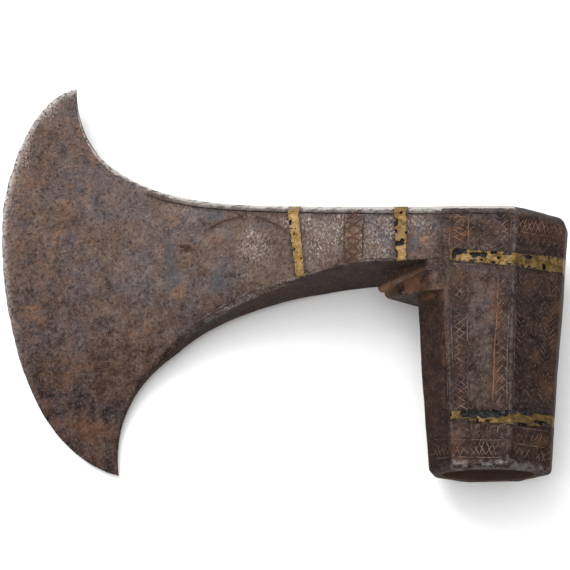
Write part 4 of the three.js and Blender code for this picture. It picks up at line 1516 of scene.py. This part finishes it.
def iron_rust(tree, colour, noises, marks):
    """Soft rust in broad patches, orange rust in small spots on them, and red rust by the strokes."""
    rusted = marks["rusted"]
    soft = number(tree, "ADD", times(tree, rusted, 0.6), 0.2)
    colour = tint(tree, times(tree, soft, ramp(tree, noises["patches"], 0.42, 0.62)), colour, SOFT_RUST)
    spots = ramp(tree, noise_fac(tree, 340, 4, 0.6, 0.3, offset=(7, 2, 4)), 0.53, 0.64)
    colour = tint(tree, times(tree, rusted, spots, 0.6), colour, RUST_ORANGE)
    halo = times(tree, marks["near engraving"], ramp(tree, noises["middle"], 0.42, 0.60))
    return tint(tree, times(tree, halo, ramp(tree, rusted, 0.0, 1.0, 0.3, 0.8)), colour, RUST_RED)


def iron_speckle(tree, colour, noises):
    """The finest mottling: pale specks and black specks all over."""
    colour = tint(tree, ramp(tree, noises["fine"], 0.52, 0.66, 0, 0.6), colour, PALE_SPECK)
    return tint(tree, ramp(tree, noises["fine"], 0.48, 0.36, 0, 0.7), colour, BLACK_BROWN)


def iron_scale(tree, colour, noises, marks):
    """Blue-grey scale in flat patches with a broken edge, and a darker blade towards its edge."""
    broken = times(tree, number(tree, "SUBTRACT", noises["middle"], 0.5), 2.2)
    torn = number(tree, "ADD", marks["blued"], broken)
    speckled = ramp(tree, noises["fine"], 0.36, 0.58, 1.0, 0.6)
    colour = tint(tree, times(tree, ramp(tree, torn, 0.45, 0.75, 0, 0.72), speckled), colour, BLUE_SCALE)
    return darken(tree, marks["corroded"], colour, CORRODED_SHADE)


def iron_pits(tree, marks):
    """Where the iron is pitted, most of all near the cutting edge."""
    hole = noise_fac(tree, 640, 3, 0.6, 0.4, offset=(5, 3, 9))
    return ramp(tree, number(tree, "SUBTRACT", hole, times(tree, marks["corroded"], 0.035)), 0.40, 0.31)


# %% Grime, painted shade, scuffs, bare metal and painted highlights of the iron
def iron_grime_and_shade(tree, colour, noises, marks):
    """Grime and painted shade on the sides, dirt and painted shade in the hollows, a darker socket and rust
    on the lip.
    """
    middle, dark, grime_and_shade = noises["middle"], marks["dark patina"], marks["grimy sides"]
    # Grime and painted shade on the faces turned down or to the sides.
    colour = darken(tree, grime_and_shade, colour, GRIME_AND_SHADE_TONE)
    # Dirt and painted shade in the hollows and creases.
    colour = tint(tree, times(tree, marks["hollows"], 0.6), colour, HOLLOW_DIRT_AND_SHADE)
    colour = darken(tree, dark, colour, DARKENED_TONE)
    open_face = times(tree, dark, ramp(tree, grime_and_shade, 0.72, 1.0, 1.0, 0.4))
    colour = darken(tree, times(tree, open_face, ramp(tree, middle, 0.52, 0.42)), colour, MOTTLE_SHADE)
    specks = times(tree, open_face, ramp(tree, noises["fine"], 0.54, 0.64), 0.25)
    colour = tint(tree, specks, colour, WARM_TAN)
    late = times(tree, marks["rusted"], dark, ramp(tree, noises["patches"], 0.45, 0.60), 0.5)
    colour = tint(tree, late, colour, LATE_RUST)
    lip = times(tree, marks["rusty lip"], ramp(tree, middle, 0.38, 0.54, 0.45, 1.0), 0.7)
    return tint(tree, lip, colour, LIP_RUST)


def iron_scuffs_and_highlight(tree, colour, noises, marks, uneven):
    """Pale scuffs in fine upright scratches, one patch of them a painted highlight, and a scatter of pale
    grains.
    """
    scratch = noise_fac(tree, 1700, 5, 0.75, 0.4, stretch=(1.0, 0.6, 1.0), offset=(2, 9, 1))
    patchy = ramp(tree, uneven, 0.0, 1.0, 0.6, 1.0)
    scuff_and_highlight = times(tree, marks["scuffed"], ramp(tree, scratch, 0.49, 0.60), patchy)
    thinned = ramp(tree, marks["dark patina"], 0.0, 1.0, 0.6, 0.42)
    scatter = times(tree, ramp(tree, noises["grain"], 0.61, 0.71), thinned)
    return tint(tree, number(tree, "MAXIMUM", scuff_and_highlight, scatter), colour, PALE_SCUFF_AND_HIGHLIGHT)


def bare_metal_and_highlights(tree, noises, marks, uneven):
    """How bare and highlit the iron is: on rubbed corners and the polished top, both partly a painted
    highlight, and along the cutting edge.
    """
    fine, polish_and_highlight = noises["fine"], marks["polished top"]
    handled = ramp(tree, marks["grimy sides"], 0.0, 1.0, 1.0, 0.4)
    rubbed_and_highlit = times(tree, marks["rubbed corners"], uneven, handled)
    ragged = number(tree, "ADD", polish_and_highlight, times(tree, number(tree, "SUBTRACT", fine, 0.5), 1.8))
    top = times(tree, ramp(tree, ragged, 0.28, 0.72, 0.0, 0.88), ramp(tree, polish_and_highlight, 0.02, 0.15))
    edge = times(tree, marks["cutting edge"], ramp(tree, fine, 0.38, 0.58), 0.7)
    return number(tree, "MAXIMUM", number(tree, "MAXIMUM", rubbed_and_highlit, top), edge)


# %% Patinated iron
IRON_SHINE = 0.06
IRON_RELIEF = 0.00055


def finish_iron(material):
    tree, surface = start_material(material)
    noises = iron_noises(tree)
    marks = {name: attribute(tree, name) for name in MARKS}
    marks["rusted"] = number(tree, "MAXIMUM", marks["rusted"], times(tree, marks["corroded"], 0.25))
    fine, grime_and_shade, eye = noises["fine"], marks["grimy sides"], marks["inside the eye"]
    uneven = ramp(tree, noise_fac(tree, 420, 4, 0.7, offset=(4, 4, 8)), 0.42, 0.60)
    pit = iron_pits(tree, marks)
    bare_and_highlit = bare_metal_and_highlights(tree, noises, marks, uneven)
    colour = iron_rust(tree, iron_ground(tree, noises), noises, marks)
    colour = iron_scale(tree, iron_speckle(tree, colour, noises), noises, marks)
    colour = tint(tree, times(tree, pit, 0.6), colour, PIT_BLACK)
    colour = iron_grime_and_shade(tree, colour, noises, marks)
    colour = iron_scuffs_and_highlight(tree, colour, noises, marks, uneven)
    # Bare steel, partly a painted highlight on the corners, the top and the rim of the blade.
    colour = tint(tree, bare_and_highlit, colour, BARE_STEEL_AND_HIGHLIGHT)
    colour = tint(tree, times(tree, eye, 0.7), colour, EYE_RUST)
    tree.links.new(colour, surface.inputs["Base Color"])
    clean = number(tree, "SUBTRACT", 1.0, grime_and_shade)
    metal = number(tree, "ADD", times(tree, bare_and_highlit, 0.75), times(tree, clean, 0.22))
    tree.links.new(metal, surface.inputs["Metallic"])
    dull = number(tree, "ADD", ramp(tree, fine, 0.35, 0.65, 0.42, 0.62), times(tree, grime_and_shade, 0.14))
    dull = number(tree, "SUBTRACT", dull, times(tree, bare_and_highlit, 0.16))
    tree.links.new(number(tree, "ADD", dull, times(tree, eye, 0.3)), surface.inputs["Roughness"])
    surface.inputs["Specular IOR Level"].default_value = IRON_SHINE
    height = number(tree, "ADD", times(tree, noises["middle"], 0.55), times(tree, fine, 0.30))
    height = number(tree, "ADD", height, times(tree, noises["grain"], 0.08))
    height = number(tree, "SUBTRACT", height, times(tree, pit, 0.22))
    relief(tree, surface, height, IRON_RELIEF)


finish_iron(iron)
print("iron finish has", len(iron.node_tree.nodes), "nodes")

# %% Rust in the engraving, and the blackened grooves
RED_BROWN, PALE_TAN, LOST_STROKE = (0.088, 0.036, 0.026), (0.175, 0.120, 0.092), (0.050, 0.031, 0.024)
STROKE_ORANGE, STROKE_BLACK = (0.300, 0.145, 0.080), (0.022, 0.014, 0.012)
STROKE_GRIME_AND_SHADE = (0.66, 0.56, 0.50)
GROOVE_BLACK, GROOVE_GREY = (0.007, 0.007, 0.008), (0.034, 0.034, 0.038)


def finish_rust(material):
    tree, surface = start_material(material)
    middle = noise_fac(tree, 160, 5, 0.65)
    fine = noise_fac(tree, 1300, 4, 0.7)
    # On the socket the rust is pale tan, and on the neck a dark red-brown.
    dark = attribute(tree, "dark patina")
    rusty = tint(tree, ramp(tree, dark, 0.3, 0.7), RED_BROWN, PALE_TAN)
    colour = tint(tree, ramp(tree, middle, 0.41, 0.57), LOST_STROKE, rusty)
    rusted = attribute(tree, "rusted")
    orange = times(tree, rusted, ramp(tree, dark, 0.3, 0.7, 0.25, 0.62))
    colour = tint(tree, orange, colour, STROKE_ORANGE)
    clean = number(tree, "SUBTRACT", 1.0, rusted)
    # Grime and painted shade on strokes in faces turned down or to the sides, except where rusted.
    colour = darken(tree, times(tree, attribute(tree, "grimy sides"), clean), colour, STROKE_GRIME_AND_SHADE)
    colour = tint(tree, ramp(tree, fine, 0.50, 0.40, 0, 0.7), colour, STROKE_BLACK)
    tree.links.new(colour, surface.inputs["Base Color"])
    tree.links.new(ramp(tree, fine, 0.3, 0.7, 0.55, 0.8), surface.inputs["Roughness"])
    surface.inputs["Metallic"].default_value = 0.1
    surface.inputs["Specular IOR Level"].default_value = 0.1
    relief(tree, surface, fine, 0.0002)


def finish_groove(material):
    tree, surface = start_material(material)
    fine = noise_fac(tree, 800, 5, 0.7)
    colour = tint(tree, ramp(tree, fine, 0.42, 0.62), GROOVE_BLACK, GROOVE_GREY)
    tree.links.new(colour, surface.inputs["Base Color"])
    tree.links.new(ramp(tree, fine, 0.3, 0.7, 0.5, 0.75), surface.inputs["Roughness"])
    surface.inputs["Metallic"].default_value = 0.2
    surface.inputs["Specular IOR Level"].default_value = 0.15
    relief(tree, surface, fine, 0.0004)


finish_rust(groove_rust)
finish_groove(empty_groove)
for finish in (groove_rust, empty_groove):
    print(finish.name, "has", len(finish.node_tree.nodes), "nodes")

# %% [markdown]
# ## The brass's finish
# The brass has not been polished for a very long time. It is a dull ochre yellow in the middle of a
# strip, mustard to brown at its edges, with black spots where dirt has stuck and a coppery bloom in
# a few places.

# %% Tarnished brass
OCHRE, STRAW, MUSTARD = (0.215, 0.130, 0.036), (0.360, 0.238, 0.112), (0.170, 0.098, 0.012)
COPPER_BLOOM, BRASS_SPECK = (0.300, 0.105, 0.040), (0.050, 0.034, 0.016)
BRASS_STAIN, BRASS_GRIME_AND_SHADE, BRASS_DARK = (0.052, 0.036, 0.012), (0.070, 0.042, 0.010), (0.050, 0.030, 0.008)
STUCK_DIRT = (0.020, 0.016, 0.012)
DIRT_SPOTS = 420.0  # how many cells of dirt to a metre


def finish_brass(material):
    tree, surface = start_material(material)
    middle = noise_fac(tree, 260, 5, 0.65, 0.4)
    fine = noise_fac(tree, 1200, 5, 0.7)
    dark = attribute(tree, "dark patina")
    colour = tint(tree, ramp(tree, middle, 0.36, 0.60), OCHRE, STRAW)
    edges = times(tree, attribute(tree, "strip edges"), ramp(tree, fine, 0.35, 0.6), 0.75)
    colour = tint(tree, edges, colour, MUSTARD)
    bloom = times(tree, attribute(tree, "coppery"), ramp(tree, middle, 0.40, 0.52))
    colour = tint(tree, bloom, colour, COPPER_BLOOM)
    colour = tint(tree, ramp(tree, fine, 0.46, 0.36, 0, 0.8), colour, BRASS_SPECK)
    stain = ramp(tree, noise_fac(tree, 430, 5, 0.65, 0.8, offset=(6, 1, 3)), 0.56, 0.45)
    colour = tint(tree, times(tree, stain, ramp(tree, dark, 0.0, 0.7, 0.18, 0.85)), colour, BRASS_STAIN)
    # Grime and painted shade on the band's faces turned to the sides.
    colour = tint(tree, times(tree, attribute(tree, "grimy sides"), 0.35), colour, BRASS_GRIME_AND_SHADE)
    colour = tint(tree, times(tree, dark, 0.5), colour, BRASS_DARK)
    place = tree.nodes.new("ShaderNodeTexCoord").outputs["Object"]
    cells = add(tree, "ShaderNodeTexVoronoi", {"Vector": place, "Scale": DIRT_SPOTS})
    spot = times(tree, ramp(tree, cells.outputs["Distance"], 0.24, 0.14), ramp(tree, middle, 0.50, 0.58))
    colour = tint(tree, times(tree, spot, 0.9), colour, STUCK_DIRT)
    tree.links.new(colour, surface.inputs["Base Color"])
    tree.links.new(ramp(tree, fine, 0.3, 0.7, 0.38, 0.60), surface.inputs["Roughness"])
    surface.inputs["Metallic"].default_value = 0.45
    surface.inputs["Specular IOR Level"].default_value = 0.1
    relief(tree, surface, number(tree, "ADD", middle, times(tree, fine, 0.4)), 0.0004)


finish_brass(brass)
print("brass finish has", len(brass.node_tree.nodes), "nodes")

# %% [markdown]
# ## Floor and light
# The head lies on a plain pale floor. One large soft light stands behind the top of the head, so that
# the bevel along its top shines, and a wider one hangs straight above. An even white world keeps the
# shadows soft.

# %% Add the floor, the lights and the world
FLOOR_HALF = 3.0
FLOOR_GREY, FLOOR_PALE = (0.86, 0.86, 0.86), (0.90, 0.90, 0.90)
WORLD_STRENGTH = 0.9


def add_floor():
    mesh = bpy.data.meshes.new("floor")
    corners = [(-1, -1), (1, -1), (1, 1), (-1, 1)]
    mesh.from_pydata([(x * FLOOR_HALF, y * FLOOR_HALF, 0) for x, y in corners], [], [(0, 1, 2, 3)])
    floor = bpy.data.objects.new("floor", mesh)
    bpy.context.collection.objects.link(floor)
    paint = bpy.data.materials.new("pale floor")
    tree, surface = start_material(paint)
    grain = noise_fac(tree, 300, 4)
    tree.links.new(tint(tree, grain, FLOOR_GREY, FLOOR_PALE), surface.inputs["Base Color"])
    surface.inputs["Roughness"].default_value = 0.9
    surface.inputs["Specular IOR Level"].default_value = 0.1
    mesh.materials.append(paint)


def add_light(name, place, aim, size, power):
    data = bpy.data.lights.new(name, "AREA")
    data.shape = "DISK"
    data.size = size
    data.energy = power
    light = bpy.data.objects.new(name, data)
    light.location = place
    light.rotation_euler = (Vector(aim) - Vector(place)).to_track_quat("-Z", "Y").to_euler()
    bpy.context.collection.objects.link(light)
    print(name, "has a disk", size, "m wide and", power, "W")


add_floor()
add_light("key light", (-0.35, 0.65, 0.95), (0, 0, 0.02), 0.8, 8)
add_light("overhead light", (-0.1, 0.0, 1.4), (0, 0, 0), 1.4, 9)
world = bpy.data.worlds.new("studio")
bpy.context.scene.world = world
world.use_nodes = True
sky = world.node_tree.nodes["Background"].inputs
sky["Color"].default_value = (1, 1, 1, 1)
sky["Strength"].default_value = WORLD_STRENGTH
bpy.context.scene.view_settings.view_transform = "Standard"

# %% [markdown]
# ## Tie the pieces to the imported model
# The one body of a part without joints is called root, and every piece rides on it. The detailed
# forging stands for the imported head, and each detailed band for its packed band.

# %% Finish
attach(head, "root")
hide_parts("axe_head")
for name, band in brass_bands.items():
    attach(band, "root")
    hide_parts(name)
bpy.context.view_layer.update()
print("triangles:", {piece.name: triangles(piece) for piece in (head, *brass_bands.values())})
